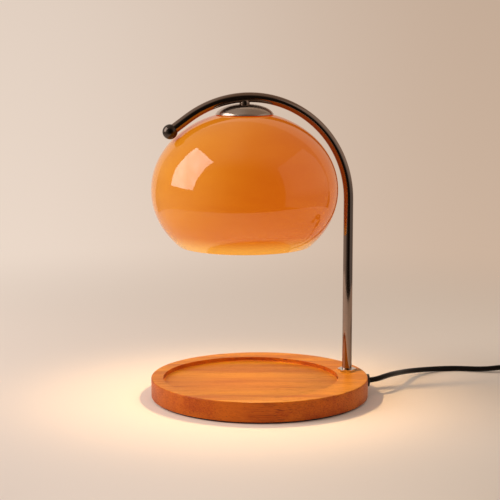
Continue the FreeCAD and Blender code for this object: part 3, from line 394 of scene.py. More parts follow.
def one_long(tree, vector):
    """A vector of the same direction, one long."""
    return put(tree, "ShaderNodeVectorMath", {0: vector}, operation="NORMALIZE").outputs[0]


def agreement(tree, first, second):
    """Dot product of two directions: 1 where they are the same, 0 where they are square."""
    sockets = {0: first, 1: second}
    return put(tree, "ShaderNodeVectorMath", sockets, operation="DOT_PRODUCT").outputs["Value"]


def about_z(tree, vector, angle):
    """A vector turned about Z."""
    sockets = {"Vector": vector, "Angle": angle}
    return put(tree, "ShaderNodeVectorRotate", sockets, rotation_type="Z_AXIS").outputs[0]


def seen_from(tree, vector, middle, size=(1, 1, 1)):
    """A place as it lies from middle, in units of size along each axis."""
    sockets = {"Vector": vector, "Location": middle, "Scale": size}
    return put(tree, "ShaderNodeMapping", sockets, vector_type="TEXTURE").outputs[0]


def grey(tree, level):
    """The grey of a level."""
    sockets = dict.fromkeys(("Red", "Green", "Blue"), level)
    return put(tree, "ShaderNodeCombineColor", sockets).outputs[0]


def new_group(name, inputs, outputs):
    """A shader node group with named sockets. Returns its tree, its inputs' sockets inside and the
    sockets that its outputs read. inputs are (label, kind, default), and outputs (label, kind)."""
    tree = bpy.data.node_groups.new(name, "ShaderNodeTree")
    for label, kind, default in inputs:
        socket = tree.interface.new_socket(label, in_out="INPUT", socket_type="NodeSocket" + kind)
        if default is not None:
            socket.default_value = default
    for label, kind in outputs:
        tree.interface.new_socket(label, in_out="OUTPUT", socket_type="NodeSocket" + kind)
    source = tree.nodes.new("NodeGroupInput")
    target = tree.nodes.new("NodeGroupOutput")
    return tree, source.outputs, target.inputs


def use_group(tree, name, **sockets):
    """Places a group and returns its outputs. A socket's label has spaces for underscores."""
    node = put(tree, "ShaderNodeGroup", node_tree=bpy.data.node_groups[name])
    for label, value in sockets.items():
        socket = node.inputs[label.replace("_", " ")]
        if isinstance(value, bpy.types.NodeSocket):
            tree.links.new(value, socket)
        else:
            socket.default_value = value
    return node.outputs


def new_material(name, **sockets):
    """A material and its tree, shader and object coordinates. sockets are plain values on the
    Principled shader, with spaces for underscores."""
    material = bpy.data.materials.new(name)
    material.use_nodes = True
    tree = material.node_tree
    shader = tree.nodes["Principled BSDF"]
    for label, value in sockets.items():
        socket = shader.inputs[label.replace("_", " ")]
        socket.default_value = rgba(value) if socket.type == "RGBA" else value
    return material, tree, shader, object_place(tree)


def join(tree, shader, **sources):
    """Links outputs to the shader's sockets."""
    for label, source in sources.items():
        tree.links.new(source, shader.inputs[label.replace("_", " ")])


def dress(material, *nodes):
    """Gives a material to packed nodes, which keep their meshes."""
    for name in nodes:
        for material_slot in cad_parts[name].material_slots:
            material_slot.material = material


def add_object(name, data):
    """Puts a mesh, curve, light or camera into the scene."""
    added = bpy.data.objects.new(name, data)
    bpy.context.scene.collection.objects.link(added)
    return added


# ---------------------------------------------------------------- shared effects
TONE_REACH = 0.17                # rightward part at which the colour is all one side's
TONE_LEVELS = -0.30, 0.02, 1.15, 0.96   # upward part, low and high, and the level of painted light at each
CORNER_BAND = -0.20, -0.30       # upward part where the painted shade of the low corners begins, and is full
CORNER_LIMIT = 0.025             # most that the square of the rightward part counts there
CORNER_SHADE = -5.0               # darkening of that painted shade for a square of 1


def make_painted_tone_group():
    """Backdrop tone with painted light: a pale colour that darkens from the left, where the key
    light is, to the right of the studio, with painted shade that dims it upwards and towards the
    low corners.

    The direction is turned to the studio's axes and made one long. Its rightward part carries the
    colour from left to right, and its upward part sets the level. Low down, the level also falls
    with the square of the rightward part, up to a limit."""
    inputs = [
        ("Direction", "Vector", None),
        ("Turn", "Float", 0.0),
        ("Left", "Color", (1, 1, 1, 1)),
        ("Right", "Color", (1, 1, 1, 1)),
    ]
    tree, given, wanted = new_group("Backdrop tone and painted light", inputs, [("Color", "Color")])
    x, _, z = parts(tree, one_long(tree, about_z(tree, given["Direction"], given["Turn"])))
    across = remap(tree, x, -TONE_REACH, TONE_REACH, smooth=True)
    colour = mix(tree, across, given["Left"], given["Right"])
    corner = calc(tree, "MINIMUM", product(tree, x, x), CORNER_LIMIT)
    outward = product(tree, corner, remap(tree, z, *CORNER_BAND))
    painted_corner_shade = calc(tree, "MULTIPLY_ADD", outward, CORNER_SHADE, 1.0)
    level = product(tree, remap(tree, z, *TONE_LEVELS), painted_corner_shade)
    tree.links.new(mix(tree, 1.0, colour, grey(tree, level), "MULTIPLY"), wanted["Color"])


# Wood. Each noise has a scale along X, Y and Z, its detail and its roughness. Each band is the
# stretch of a noise over which its mark comes.
FIGURE = (5, 70, 45), 3.0, 0.55
FIBRE = (22, 900, 900), 4.0, 0.65
PORE = (190, 1700, 1700), 1.0, 0.4
FLECK = (95, 900, 1150), 0.0, 0.5
PATCH_SCALE = 21.0
LINE_BAND = 0.46, 0.66
PORE_BAND = 0.64, 0.72
FLECK_BAND = 0.655, 0.71
PATCH_BAND = 0.42, 0.58
FIBRE_SHARE = 0.55               # of the fibres in the grain's lines
FIGURE_SHARE = 0.6               # of the figure in them
FIBRE_GLOSS = 0.3, 0.7, 0.46, 0.36      # fibre noise, low and high, and the roughness at each
PORE_ROUGHNESS = 0.3             # added in an open pore
FIBRE_RAISE = 0.35               # height of a fibre for a pore one deep


def make_grain_group():
    """Wood grain along X of a vector in metres: broad figure, fine fibres, pores and dark flecks.

    Each is noise, squeezed across the grain: figure some 15 mm wide and fibres under 1 mm. Pores
    and the longer flecks lie where a noise of their own passes a threshold, and a slow noise
    gathers the flecks into patches."""
    inputs = [
        ("Vector", "Vector", None),
        ("Light", "Color", (1, 1, 1, 1)),
        ("Dark", "Color", (0, 0, 0, 1)),
        ("Pore", "Color", (0, 0, 0, 1)),
        ("Pore amount", "Float", 0.7),
    ]
    outputs = [("Color", "Color"), ("Roughness", "Float"), ("Height", "Float")]
    tree, given, wanted = new_group("Wood grain", inputs, outputs)
    figure, fibre, pore, fleck = (
        stretched_noise(tree, given["Vector"], *kind) for kind in (FIGURE, FIBRE, PORE, FLECK)
    )
    patch = noise(tree, given["Vector"], PATCH_SCALE, 1.0, 0.5)
    figured = product(tree, figure, FIGURE_SHARE)
    lines = calc(tree, "MULTIPLY_ADD", fibre, FIBRE_SHARE, figured)
    tone = mix(tree, remap(tree, lines, *LINE_BAND), given["Dark"], given["Light"])
    dash = product(tree, remap(tree, fleck, *FLECK_BAND), remap(tree, patch, *PATCH_BAND))
    marks = calc(tree, "MAXIMUM", remap(tree, pore, *PORE_BAND), dash)
    open_pore = product(tree, marks, given["Pore amount"])
    colour = mix(tree, open_pore, tone, given["Pore"])
    sound = remap(tree, fibre, *FIBRE_GLOSS)
    rough = calc(tree, "ADD", sound, product(tree, open_pore, PORE_ROUGHNESS))
    height = calc(tree, "SUBTRACT", product(tree, fibre, FIBRE_RAISE), open_pore)
    tree.links.new(colour, wanted["Color"])
    tree.links.new(rough, wanted["Roughness"])
    tree.links.new(height, wanted["Height"])


SMUDGE_SCALE = 38.0              # smudges some 25 mm wide
SMUDGE_BAND = 0.42, 0.72
DUST_SCALE = 900.0               # specks some 1 mm wide
DUST_BAND = 0.5, 0.75
DUST_FACING = 0.2, 0.95          # facing up where dust begins to settle, and where it is full
DUST_ROUGHNESS = 0.4             # added under full dust


def make_handling_group():
    """Handling: faint smudges that change the gloss, and fine dust where surfaces face up."""
    inputs = [
        ("Vector", "Vector", None),
        ("Roughness", "Float", 0.1),
        ("Smudge", "Float", 0.05),
        ("Dust", "Float", 0.1),
    ]
    tree, given, wanted = new_group("Handling", inputs, [("Roughness", "Float"), ("Dust", "Float")])
    broad = noise(tree, given["Vector"], SMUDGE_SCALE, 3.0, 0.6)
    fine = noise(tree, given["Vector"], DUST_SCALE, 2.0, 0.6)
    smudge = product(tree, remap(tree, broad, *SMUDGE_BAND), given["Smudge"])
    rough = calc(tree, "ADD", given["Roughness"], smudge)
    level = remap(tree, facing_up(tree), *DUST_FACING)
    settled = product(tree, level, remap(tree, fine, *DUST_BAND))
    dust = calc(tree, "MULTIPLY", settled, given["Dust"], clamp=True)
    dull = calc(tree, "MULTIPLY_ADD", dust, DUST_ROUGHNESS, rough)
    tree.links.new(dull, wanted["Roughness"])
    tree.links.new(dust, wanted["Dust"])


EDGE_BEND = 0.98, 0.85           # agreement of the two normals where the worn and highlit edge begins, and is full
EDGE_BREAK_SCALE = 420.0               # of the noise that breaks the pale edge up
EDGE_BREAK_BAND = 0.4, 0.62


def make_wear_and_highlight_group():
    """Edge mask for wear and painted highlights: a mask along convex edges, where the rounded
    normal leaves the true one.
    """
    inputs = [("Vector", "Vector", None), ("Radius", "Float", 0.0006), ("Amount", "Float", 0.5)]
    tree, given, wanted = new_group("Edge wear and highlight", inputs, [("Mask", "Float")])
    rounded = put(tree, "ShaderNodeBevel", {"Radius": given["Radius"]}, samples=4)
    true = put(tree, "ShaderNodeNewGeometry")
    bend = agreement(tree, rounded.outputs["Normal"], true.outputs["Normal"])
    edge = remap(tree, bend, *EDGE_BEND)
    broken = remap(tree, noise(tree, given["Vector"], EDGE_BREAK_SCALE, 3.0, 0.6), *EDGE_BREAK_BAND)
    tree.links.new(product(tree, edge, broken, given["Amount"]), wanted["Mask"])


GLOSS_SCALE = 60.0               # of the plastic's uneven gloss
GLOSS_CHANGE = 0.3, 0.7, -0.04, 0.05    # its noise, low and high, and the roughness added at each


def make_moulding_group():
    """Moulded plastic: the fine spark texture of a mould, and its uneven gloss."""
    inputs = [("Vector", "Vector", None), ("Scale", "Float", 2600.0), ("Roughness", "Float", 0.4)]
    outputs = [("Height", "Float"), ("Roughness", "Float")]
    tree, given, wanted = new_group("Moulding", inputs, outputs)
    spark = noise(tree, given["Vector"], given["Scale"], 2.0, 0.6)
    uneven = remap(tree, noise(tree, given["Vector"], GLOSS_SCALE, 2.0, 0.5), *GLOSS_CHANGE)
    tree.links.new(spark, wanted["Height"])
    tree.links.new(calc(tree, "ADD", given["Roughness"], uneven), wanted["Roughness"])


# ---------------------------------------------------------------- finishes
# A scale is how often a noise repeats in a metre, and a raise is how high a relief stands.
METAL_DUST = (0.45, 0.42, 0.38)
METAL_GRAIN_SCALE = 1500.0
METAL_PATCH_SCALE = 55.0
METAL_PATCHES = 0.3, 0.7, 0.94, 1.04    # slow noise, low and high, and the colour's level at each
SPUN_SPREAD = 0.7                # how much wider a spun surface spreads light across its rings
PLASTIC_DUST = (0.32, 0.30, 0.27)
PLASTIC_WEAR_AND_HIGHLIGHT = 0.35              # amount of wear and painted highlight along the edges
MOTTLE_SCALE = 260.0
MOTTLE_BAND = 0.35, 0.7
MOTTLE_TINT = (0.86, 0.82, 0.74)
MOTTLE_ROUGHNESS = 0.12          # added where the ceramic is mottled
CERAMIC_GRAIN_SCALE = 1800.0
CERAMIC_RAISE = 0.008 * MM


def metal(name, colour, roughness, smudge=0.05, dust=0.05, grain=0.0):
    """Plated or bare metal. grain is the height of its fine surface in metres."""
    material, tree, shader, place = new_material(name, Metallic=1.0)
    kept = use_group(tree, "Handling", Vector=place, Roughness=roughness, Smudge=smudge, Dust=dust)
    patch = remap(tree, noise(tree, place, METAL_PATCH_SCALE, 3.0), *METAL_PATCHES)
    tinted = mix(tree, 1.0, colour, grey(tree, patch), "MULTIPLY")
    join(tree, shader, Base_Color=mix(tree, kept["Dust"], tinted, METAL_DUST))
    join(tree, shader, Roughness=kept["Roughness"])
    if grain:
        fine = noise(tree, place, METAL_GRAIN_SCALE, 3.0, 0.6)
        join(tree, shader, Normal=bump(tree, fine, grain))
    return material


def spun_metal(name, colour, roughness):
    """Plated metal spun on a lathe: fine rings round the piece's axis spread the light outwards."""
    material = metal(name, colour, roughness, 0.02)
    tree = material.node_tree
    shader = tree.nodes["Principled BSDF"]
    shader.inputs["Anisotropic"].default_value = SPUN_SPREAD
    rings = put(tree, "ShaderNodeTangent", direction_type="RADIAL", axis="Z")
    tree.links.new(rings.outputs[0], shader.inputs["Tangent"])
    return material


def plastic(name, colour, roughness, grain=6e-6, worn_and_highlit=(0.09, 0.085, 0.08)):
    """Moulded plastic or rubber with a fine mould texture, and a lighter colour along its edges,
    partly rubbed wear and partly a painted highlight. grain is the height of the texture in metres."""
    material, tree, shader, place = new_material(name, Specular_IOR_Level=0.5)
    skin = use_group(tree, "Moulding", Vector=place, Roughness=roughness)
    edge = use_group(tree, "Edge wear and highlight", Vector=place, Amount=PLASTIC_WEAR_AND_HIGHLIGHT)["Mask"]
    gloss = skin["Roughness"]
    kept = use_group(tree, "Handling", Vector=place, Roughness=gloss, Smudge=0.08, Dust=0.12)
    # edges lighter: rubbed wear and a painted highlight
    rubbed_and_highlit = mix(tree, edge, colour, worn_and_highlit)
    join(tree, shader, Base_Color=mix(tree, kept["Dust"], rubbed_and_highlit, PLASTIC_DUST))
    join(tree, shader, Roughness=kept["Roughness"], Normal=bump(tree, skin["Height"], grain))
    return material


def ceramic(name, colour, roughness):
    """Dense white ceramic: faint mottling and a fine dry surface."""
    under = {"Subsurface_Weight": 0.05, "Subsurface_Scale": 1 * MM}
    material, tree, shader, place = new_material(name, **under)
    mottle = remap(tree, noise(tree, place, MOTTLE_SCALE, 4.0, 0.6), *MOTTLE_BAND)
    warm = tuple(np.array(colour) * MOTTLE_TINT)
    join(tree, shader, Base_Color=mix(tree, mottle, warm, colour))
    rough = remap(tree, mottle, 0, 1, roughness + MOTTLE_ROUGHNESS, roughness)
    fine = noise(tree, place, CERAMIC_GRAIN_SCALE, 3.0)
    join(tree, shader, Roughness=rough, Normal=bump(tree, fine, CERAMIC_RAISE))
    return material


# ---------------------------------------------------------------- meshes
def sheath_curve(name, route, diameter):
    """A round cord: a second-degree NURBS line that the route's points steer, with its first and
    last point as ends."""
    curve = bpy.data.curves.new(name, "CURVE")
    curve.dimensions = "3D"
    curve.bevel_depth = diameter / 2
    curve.bevel_resolution = 5
    curve.resolution_u = 10
    curve.use_fill_caps = True
    spline = curve.splines.new("NURBS")
    spline.points.add(len(route) - 1)
    points = np.ones((len(route), 4))
    points[:, :3] = route
    spline.points.foreach_set("co", points.ravel())
    spline.order_u = 3
    spline.use_endpoint_u = True
    return add_object(name, curve)


def ring_mesh(name, points):
    """A smooth mesh over rings of points, given as rings by places by xyz."""
    rings, places = points.shape[:2]
    ring, place = np.meshgrid(np.arange(rings - 1), np.arange(places), indexing="ij")
    following = (place + 1) % places
    corners = ((ring, place), (ring, following), (ring + 1, following), (ring + 1, place))
    faces = np.stack([row * places + column for row, column in corners], -1)
    mesh = bpy.data.meshes.new(name)
    mesh.from_pydata(points.reshape(-1, 3).tolist(), [], faces.reshape(-1, 4).tolist())
    mesh.polygons.foreach_set("use_smooth", np.ones(len(mesh.polygons), bool))
    mesh.update()
    return add_object(name, mesh)


SAME_PLACE = 1e-7                # points closer than this are one


def close_poles(mesh):
    """Joins the points of each ring that has shrunk to one place."""
    work = bmesh.new()
    work.from_mesh(mesh)
    bmesh.ops.remove_doubles(work, verts=work.verts, dist=SAME_PLACE)
    work.to_mesh(mesh)
    work.free()


# ---------------------------------------------------------------- base
PORE_FACING = 0.5, 0.95, 0.6, 0.3       # facing up, low and high, and the pores' amount at each
TOP_LIGHT_FACING = 0.6, 0.95        # facing up where the painted lamp light begins to tell, and is full
GRAIN_RAISE = 0.04 * MM
BASE_EDGE = 0.7 * MM             # radius of the pale edge: wear and a painted highlight
BASE_WEAR_AND_HIGHLIGHT = 0.4                  # amount of wear and painted highlight along it
BASE_PALE_EDGE_LEVEL = 1.35                 # level of the pale edge, worn wood with a painted highlight, of the light wood's


class LAMP_OT_base(Operator):
    """Finishes the wooden base, its pad and its ballast plate"""

    bl_idname = "lamp.base"
    bl_label = "Base"

    def execute(self, context):
        settings = context.scene.lamp_base
        material, tree, shader, place = new_material("stained wood", Specular_IOR_Level=0.2)
        up = facing_up(tree)
        grain = use_group(
            tree,
            "Wood grain",
            Vector=about_z(tree, place, settings.grain_turn),
            Light=rgba(settings.light),
            Dark=rgba(settings.dark),
            Pore=rgba(settings.pore),
            Pore_amount=remap(tree, up, *PORE_FACING),
        )
        worn_and_highlit = use_group(tree, "Edge wear and highlight", Vector=place, Radius=BASE_EDGE, Amount=BASE_WEAR_AND_HIGHLIGHT)
        # painted lamp light: the faces that look up are tinted as if lit by the lamp
        painted_top_light = mix(tree, remap(tree, up, *TOP_LIGHT_FACING), (1, 1, 1), settings.painted_top_light)
        wood = mix(tree, 1.0, grain["Color"], painted_top_light, "MULTIPLY")
        # pale edge: partly wear, partly a painted highlight where the rounded edges catch the light
        pale = tuple(min(1.0, BASE_PALE_EDGE_LEVEL * level) for level in settings.light)
        join(tree, shader, Base_Color=mix(tree, worn_and_highlit["Mask"], wood, pale))
        relief = bump(tree, grain["Height"], GRAIN_RAISE)
        join(tree, shader, Roughness=grain["Roughness"], Normal=relief)
        dress(material, "wood_base")

        dress(plastic("pad foam", (0.03, 0.028, 0.027), 0.9, 4e-5), "foot_pad")
        dress(metal("painted steel", (0.10, 0.10, 0.10), 0.5, grain=2e-5), "ballast_plate")
        return {"FINISHED"}


# ---------------------------------------------------------------- post, arch and fasteners
class LAMP_OT_metalwork(Operator):
    """Finishes the tube, ball, cap and nuts, and the fasteners inside"""

    bl_idname = "lamp.metalwork"
    bl_label = "Metalwork"

    def execute(self, context):
        settings = context.scene.lamp_metal
        dress(metal("dark chrome", settings.dark_chrome, 0.07, 0.03), "arch_tube", "hanger_bead")
        dress(spun_metal("spun cap", settings.spun, 0.20), "shade_cap")
        dress(metal("gunmetal", settings.gunmetal, 0.24, 0.05), "end_ball")
        dress(metal("bright chrome", settings.chrome, 0.06, 0.03), "foot_nut")
        zinc = metal("zinc plating", settings.zinc, 0.32, 0.08, grain=6e-6)
        dress(zinc, "plate_screws", "post_stud", "post_washer", "post_lock_washer", "post_nut")
        dress(zinc, "shade_nipple", "clamp_washer", "nipple_nuts", "holder_bracket")
        dress(zinc, "holder_screws", "cord_clamp_screws", "dimmer_screws")
        return {"FINISHED"}


# ---------------------------------------------------------------- glass shade
COLOURED_LAYER = 0.979, 0.983    # reach, of the outer surface's, where the coloured glass begins
STREAKS = (18, 18, 55), 2.0, 0.5        # noise of the glass: scales, detail and roughness
STREAK_BAND = 0.35, 0.65
STREAK_LEVEL = 0.93              # of the deeper streaks, of the glass between them
RIM_GLOW_TOP = 16 * MM           # above the rim, where its glow begins
RIM_GLOW_FULL = 1 * MM           # above the rim, where its glow is full
INNER_GLOW = (0.30, 0.17, 0.08)  # painted glow of the opal layer, for the lamp's light inside the shade


class LAMP_OT_shade(Operator):
    """Finishes the cased glass shade, its gasket, and the bush and other pieces of nylon"""

    bl_idname = "lamp.shade"
    bl_label = "Shade"

    def execute(self, context):
        settings = context.scene.lamp_shade
        coat = {"Coat_Weight": 1.0, "Coat_IOR": 1.6, "Coat_Roughness": 0.03}
        material, tree, shader, place = new_material(
            "cased glass", Specular_IOR_Level=0.0, Emission_Strength=1.0, **coat
        )
        height = shade_middle_z()
        centre = (shade_middle.x, shade_middle.y, height)
        size = (shade_radius, shade_radius, shade_high.z - height)
        reach = vector_length(tree, seen_from(tree, place, centre, size))
        outside = remap(tree, reach, *COLOURED_LAYER)
        streak = remap(tree, stretched_noise(tree, place, *STREAKS), *STREAK_BAND)
        deep = tuple(STREAK_LEVEL * level for level in settings.glass)
        glass = mix(tree, streak, deep, settings.glass)
        join(tree, shader, Base_Color=mix(tree, outside, settings.opal, glass))

        # Painted glow: emission that stands in for the lamp's light coming through the glass,
        # stronger just above the rim
        rim = shade_low.z
        z = parts(tree, place)["Z"]
        at_rim = remap(tree, z, rim + RIM_GLOW_TOP, rim + RIM_GLOW_FULL, smooth=True)
        tinted = mix(tree, at_rim, settings.glow, settings.rim_glow)
        join(tree, shader, Emission_Color=mix(tree, outside, INNER_GLOW, tinted))
        kept = use_group(tree, "Handling", Vector=place, Roughness=0.03, Smudge=0.02, Dust=0.03)
        join(tree, shader, Roughness=kept["Roughness"])
        dress(material, "glass_shade")

        dress(plastic("silicone", (0.62, 0.60, 0.56), 0.5, worn_and_highlit=(0.8, 0.8, 0.78)), "shade_gasket")
        nylon = plastic("white nylon", (0.72, 0.70, 0.65), 0.42, worn_and_highlit=(0.85, 0.84, 0.8))
        dress(nylon, "shade_bush", "connector_block", "cord_clamp")
        return {"FINISHED"}


NEARLY_WIDEST = 0.9995           # share of the greatest reach that counts as widest


def shade_middle_z():
    """Height of the shade's widest circle, which is the middle of the ellipse that it is cut from.

    It is the mean height of the points that reach farthest along Y."""
    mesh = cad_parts["glass_shade"].data
    points = np.empty(len(mesh.vertices) * 3, np.float32)
    mesh.vertices.foreach_get("co", points)
    points = points.reshape(-1, 3)
    reach = np.abs(points[:, 1])
    widest = reach > NEARLY_WIDEST * reach.max()
    return float(points[widest, 2].mean())


# ---------------------------------------------------------------- lamp
LENS_BORDER = 1.6 * MM           # flat seat round the pillows
LENS_PILLOW = 0.7 * MM           # depth between them
LENS_STEPS = 6                   # points across each pillow
LENS_SEAT = 1.0, 1.0, 0.5, 0.0   # reach of the seat and the flat back, of the lens's radius
LENS_EDGE_LEVEL = 0.30           # light at the lens's edge, of that at its middle
GLASS_CLEAR = (0.95, 0.97, 0.96)
GLASS_DUST = (0.8, 0.8, 0.8)
SPOT_DROP = 1.2 * MM             # of the light source, below the lens
SPOT_SIZE = 0.4                  # radius of the light source, of the lens's
SPOT_BLEND = 0.5                 # softness of the beam's edge
CORE_OUTER = math.radians(2)     # beyond the core's angle, where the beam is at its full
CORE_INNER = math.radians(1)     # within the core's angle, where the beam is at its weakest


def lens_piece(rings, facets):
    """Moulded cover glass: flat behind, and in front a field of small pillows.

    The front dips by a pillow's depth times 1 less the product of two raised cosines, one over the
    radius, so that each ring is a pillow wide, and one round the middle, so that every ring has the
    same number of them. The middle ring is one round pillow, and the second cosine comes in over
    the next. A flat border is left for the seat."""
    steps = np.linspace(0, 1, LENS_STEPS * rings + 1)
    angle = np.linspace(0, TURN, LENS_STEPS * facets, endpoint=False)
    along = 0.5 - 0.5 * np.cos(TURN * rings * steps)
    around = 0.5 - 0.5 * np.cos(facets * angle)
    fade = np.clip(steps * rings - 0.5, 0, 1)[:, None]
    hollow = LENS_PILLOW * (1 - along[:, None] * (1 - fade + fade * around))
    field_reach = steps * (lens_radius - LENS_BORDER)
    seat_reach = np.array(LENS_SEAT) * lens_radius
    seat_height = np.array([lens_low.z + LENS_PILLOW, *[lens_high.z] * 3])
    reach = np.concatenate([field_reach, seat_reach])[:, None]
    height = np.concatenate([lens_low.z + hollow, np.repeat(seat_height[:, None], len(angle), 1)])
    x = lens_middle.x + reach * np.cos(angle)
    y = lens_middle.y + reach * np.sin(angle)
    piece = ring_mesh("bulb_cover_glass", np.stack([x, y, height], -1))
    close_poles(piece.data)
    return piece


def lit_glass(light):
    """Glass of the lit lamp, brightest at the lens's middle."""
    material, tree, shader, place = new_material("lit lens", Emission_Strength=6.0, Roughness=0.12)
    x, y, _ = parts(tree, seen_from(tree, place, (lens_middle.x, lens_middle.y, 0)))
    reach = vector_length(tree, put(tree, "ShaderNodeCombineXYZ", {"X": x, "Y": y}).outputs[0])
    hot = remap(tree, reach, 0.0, lens_radius, 1.0, LENS_EDGE_LEVEL, smooth=True)
    join(tree, shader, Emission_Color=mix(tree, 1.0, light, grey(tree, hot), "MULTIPLY"))
    return material


def make_beam(settings):
    """The lamp's light: a wide beam, weaker in its middle, from just below the lens."""
    light = bpy.data.lights.new("lamp light", "SPOT")
    light.spot_size = settings.spread
    light.spot_blend = SPOT_BLEND
    light.shadow_soft_size = SPOT_SIZE * lens_radius
    light.energy = settings.power
    light.color = settings.light
    light.use_nodes = True
    tree = light.node_tree
    heading = put(tree, "ShaderNodeTexCoord").outputs["Normal"]
    axial = calc(tree, "ABSOLUTE", parts(tree, heading)["Z"])
    outer = math.cos(settings.core + CORE_OUTER)
    inner = math.cos(settings.core - CORE_INNER)
    level = remap(tree, axial, outer, inner, 1.0, settings.core_level)
    tree.links.new(level, tree.nodes["Emission"].inputs["Strength"])
    source = add_object("lamp light", light)
    source.location = (lens_middle.x, lens_middle.y, lens_low.z - SPOT_DROP)
    source.visible_camera = False


class LAMP_OT_reflector_lamp(Operator):
    """Makes the cover glass and the beam, and finishes the lamp, its holder and the lead"""

    bl_idname = "lamp.reflector_lamp"
    bl_label = "Reflector lamp"

    def execute(self, context):
        settings = context.scene.lamp_light
        dress(ceramic("white ceramic", (0.80, 0.78, 0.74), 0.38), "lamp_holder", "bulb_base")
        dress(metal("nickel", (0.66, 0.62, 0.55), 0.22), "bulb_pins", "dimmer_shaft")
        brass = metal("brass", (0.80, 0.58, 0.26), 0.25, grain=4e-6)
        dress(brass, "holder_contacts", "plug_blades")
        dress(metal("mirror coating", (0.78, 0.74, 0.70), 0.10), "bulb_reflector")

        glass, tree, shader, place = new_material("clear glass", Transmission_Weight=1.0, IOR=1.47)
        kept = use_group(tree, "Handling", Vector=place, Roughness=0.02, Smudge=0.05, Dust=0.0)
        join(tree, shader, Roughness=kept["Roughness"])
        join(tree, shader, Base_Color=mix(tree, kept["Dust"], GLASS_CLEAR, GLASS_DUST))
        dress(glass, "bulb_capsule")

        cover = lens_piece(settings.lens_rings, settings.lens_facets)
        cover.data.materials.append(lit_glass(settings.light))
        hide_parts("bulb_lens")
        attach(cover, "reflector_lamp")

        dress(plastic("lead sheath", (0.60, 0.55, 0.46), 0.6, 1e-5, (0.7, 0.66, 0.6)), "lamp_lead")
        make_beam(settings)
        return {"FINISHED"}


# ---------------------------------------------------------------- cord
RUN_LENGTH = 0.195               # metres, from the gland to the dimmer
REST_LENGTH = 1.17               # metres, from the dimmer by way of the coil to the plug

# Routes and the coil, in millimetres.
RUN_ROUTE = [
    (100.5, -18.8, 13.5),
    (107.0, -18.4, 13.9),
    (114.0, -14.2, 14.2),
    (121.2, -8.0, 14.0),
    (128.8, -0.4, 13.2),
    (137.0, 9.0, 11.6),
    (147.0, 21.0, 9.3),
    (158.0, 32.0, 7.2),
    (169.8, 41.0, 5.3),
    (182.5, 48.0, 3.8),
    (196.5, 52.0, 2.8),
    (210.5, 51.5, 2.5),
    (222.5, 47.2, 2.5),
    (233.0, 41.0, 2.8),
    (243.8, 35.4, 3.7),
    (254.2, 33.0, 5.0),
    (265.0, 33.0, 5.0),
]
LINK_ROUTE = [
    (345.0, 33.0, 5.0),
    (353.0, 33.0, 5.0),
    (364.0, 33.1, 3.2),
    (374.0, 33.0, 2.5),
]
TAIL_ROUTE = [
    (376.6, -37.0, 6.8),
    (369.0, -36.6, 7.4),
    (361.0, -36.0, 8.0),
    (352.0, -36.0, 8.0),
]
COIL_MIDDLE = (384.0, -2.0)
COIL_OUTER = 35.0                # radius of the outermost turn
COIL_STEP = 5.0                  # from turn to turn, one diameter
COIL_FLOOR = 2.5                 # height of the lower layer's line
COIL_LOW_TURNS = 3.0
COIL_CLIMB = 0.5                 # turns that carry the cord up to the second layer
COIL_HIGH_TURNS = 3.0
COIL_RAISE = 4.67                # mean rise to the second layer
COIL_RIDE = 0.33                 # how far that layer rides over crossings and sinks between them


def coil_route(turn_points):
    """Points of the coil, clockwise from its far side, in two layers.

    The radius falls by one diameter a turn on the floor, stays while the cord climbs, and grows
    by one diameter a turn on top. The climb eases in and out: three times the square of its share
    less twice the cube. The top layer rises twice a turn, where it crosses a turn below."""
    turns = COIL_LOW_TURNS + COIL_CLIMB + COIL_HIGH_TURNS
    t = np.linspace(0, turns, int(turns * turn_points) + 1)
    fall = COIL_OUTER - COIL_STEP * np.minimum(t, COIL_LOW_TURNS)
    grow = COIL_STEP * np.maximum(t - COIL_LOW_TURNS - COIL_CLIMB, 0)
    climb = np.clip((t - COIL_LOW_TURNS) / COIL_CLIMB, 0, 1)
    climb = climb * climb * (3 - 2 * climb)
    ride = COIL_RAISE - COIL_RIDE * np.cos(2 * TURN * t)
    angle = TURN / 4 - TURN * t
    radius = fall + grow
    x = COIL_MIDDLE[0] + radius * np.cos(angle)
    y = COIL_MIDDLE[1] + radius * np.sin(angle)
    z = COIL_FLOOR + climb * ride
    return np.stack([x, y, z], 1)


class LAMP_OT_cord(Operator):
    """Lays the mains cord: the run to the dimmer, and the rest put away in a coil with its plug"""

    bl_idname = "lamp.cord"
    bl_label = "Cord"

    def execute(self, context):
        settings = context.scene.lamp_cord
        sheath = cord_sheath("cord sheath", settings.colour)
        dress(sheath, "cord_inner")
        dress(plastic("black rubber", settings.colour, 0.55, 1.2e-5), "cord_grommet", "plug_relief")

        run = sheath_curve("cord_run_line", np.array(RUN_ROUTE) * MM, settings.diameter)
        run.data.materials.append(sheath)
        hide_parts("cord_run")
        near = ["cord_grommet", "cord_inner", *names_from("dimmer_")]
        self.declare(run, RUN_ROUTE[0], RUN_LENGTH, settings.diameter, "fitting", "loose", near)

        rest = np.concatenate([LINK_ROUTE, coil_route(settings.turn_points)[1:], TAIL_ROUTE])
        coiled = sheath_curve("cord_coil_line", rest * MM, settings.diameter)
        coiled.data.materials.append(sheath)
        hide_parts("cord_link", "cord_coil", "cord_tail")
        plug = names_from("plug_")
        self.declare(coiled, LINK_ROUTE[0], REST_LENGTH, settings.diameter, "plug", "coiled", plug)
        return {"FINISHED"}

    @staticmethod
    def declare(piece, start, length, diameter, far_end, lay, pieces):
        """Puts a cord's piece on the root body. start is in millimetres and is not used."""
        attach(piece, "root")


def names_from(start):
    """Names of the packed nodes that begin with start."""
    return [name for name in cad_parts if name.startswith(start)]


SHEATH_DUST = (0.20, 0.18, 0.16)
RIPPLE_SCALE = 420.0
RIPPLE_RAISE = 0.025 * MM


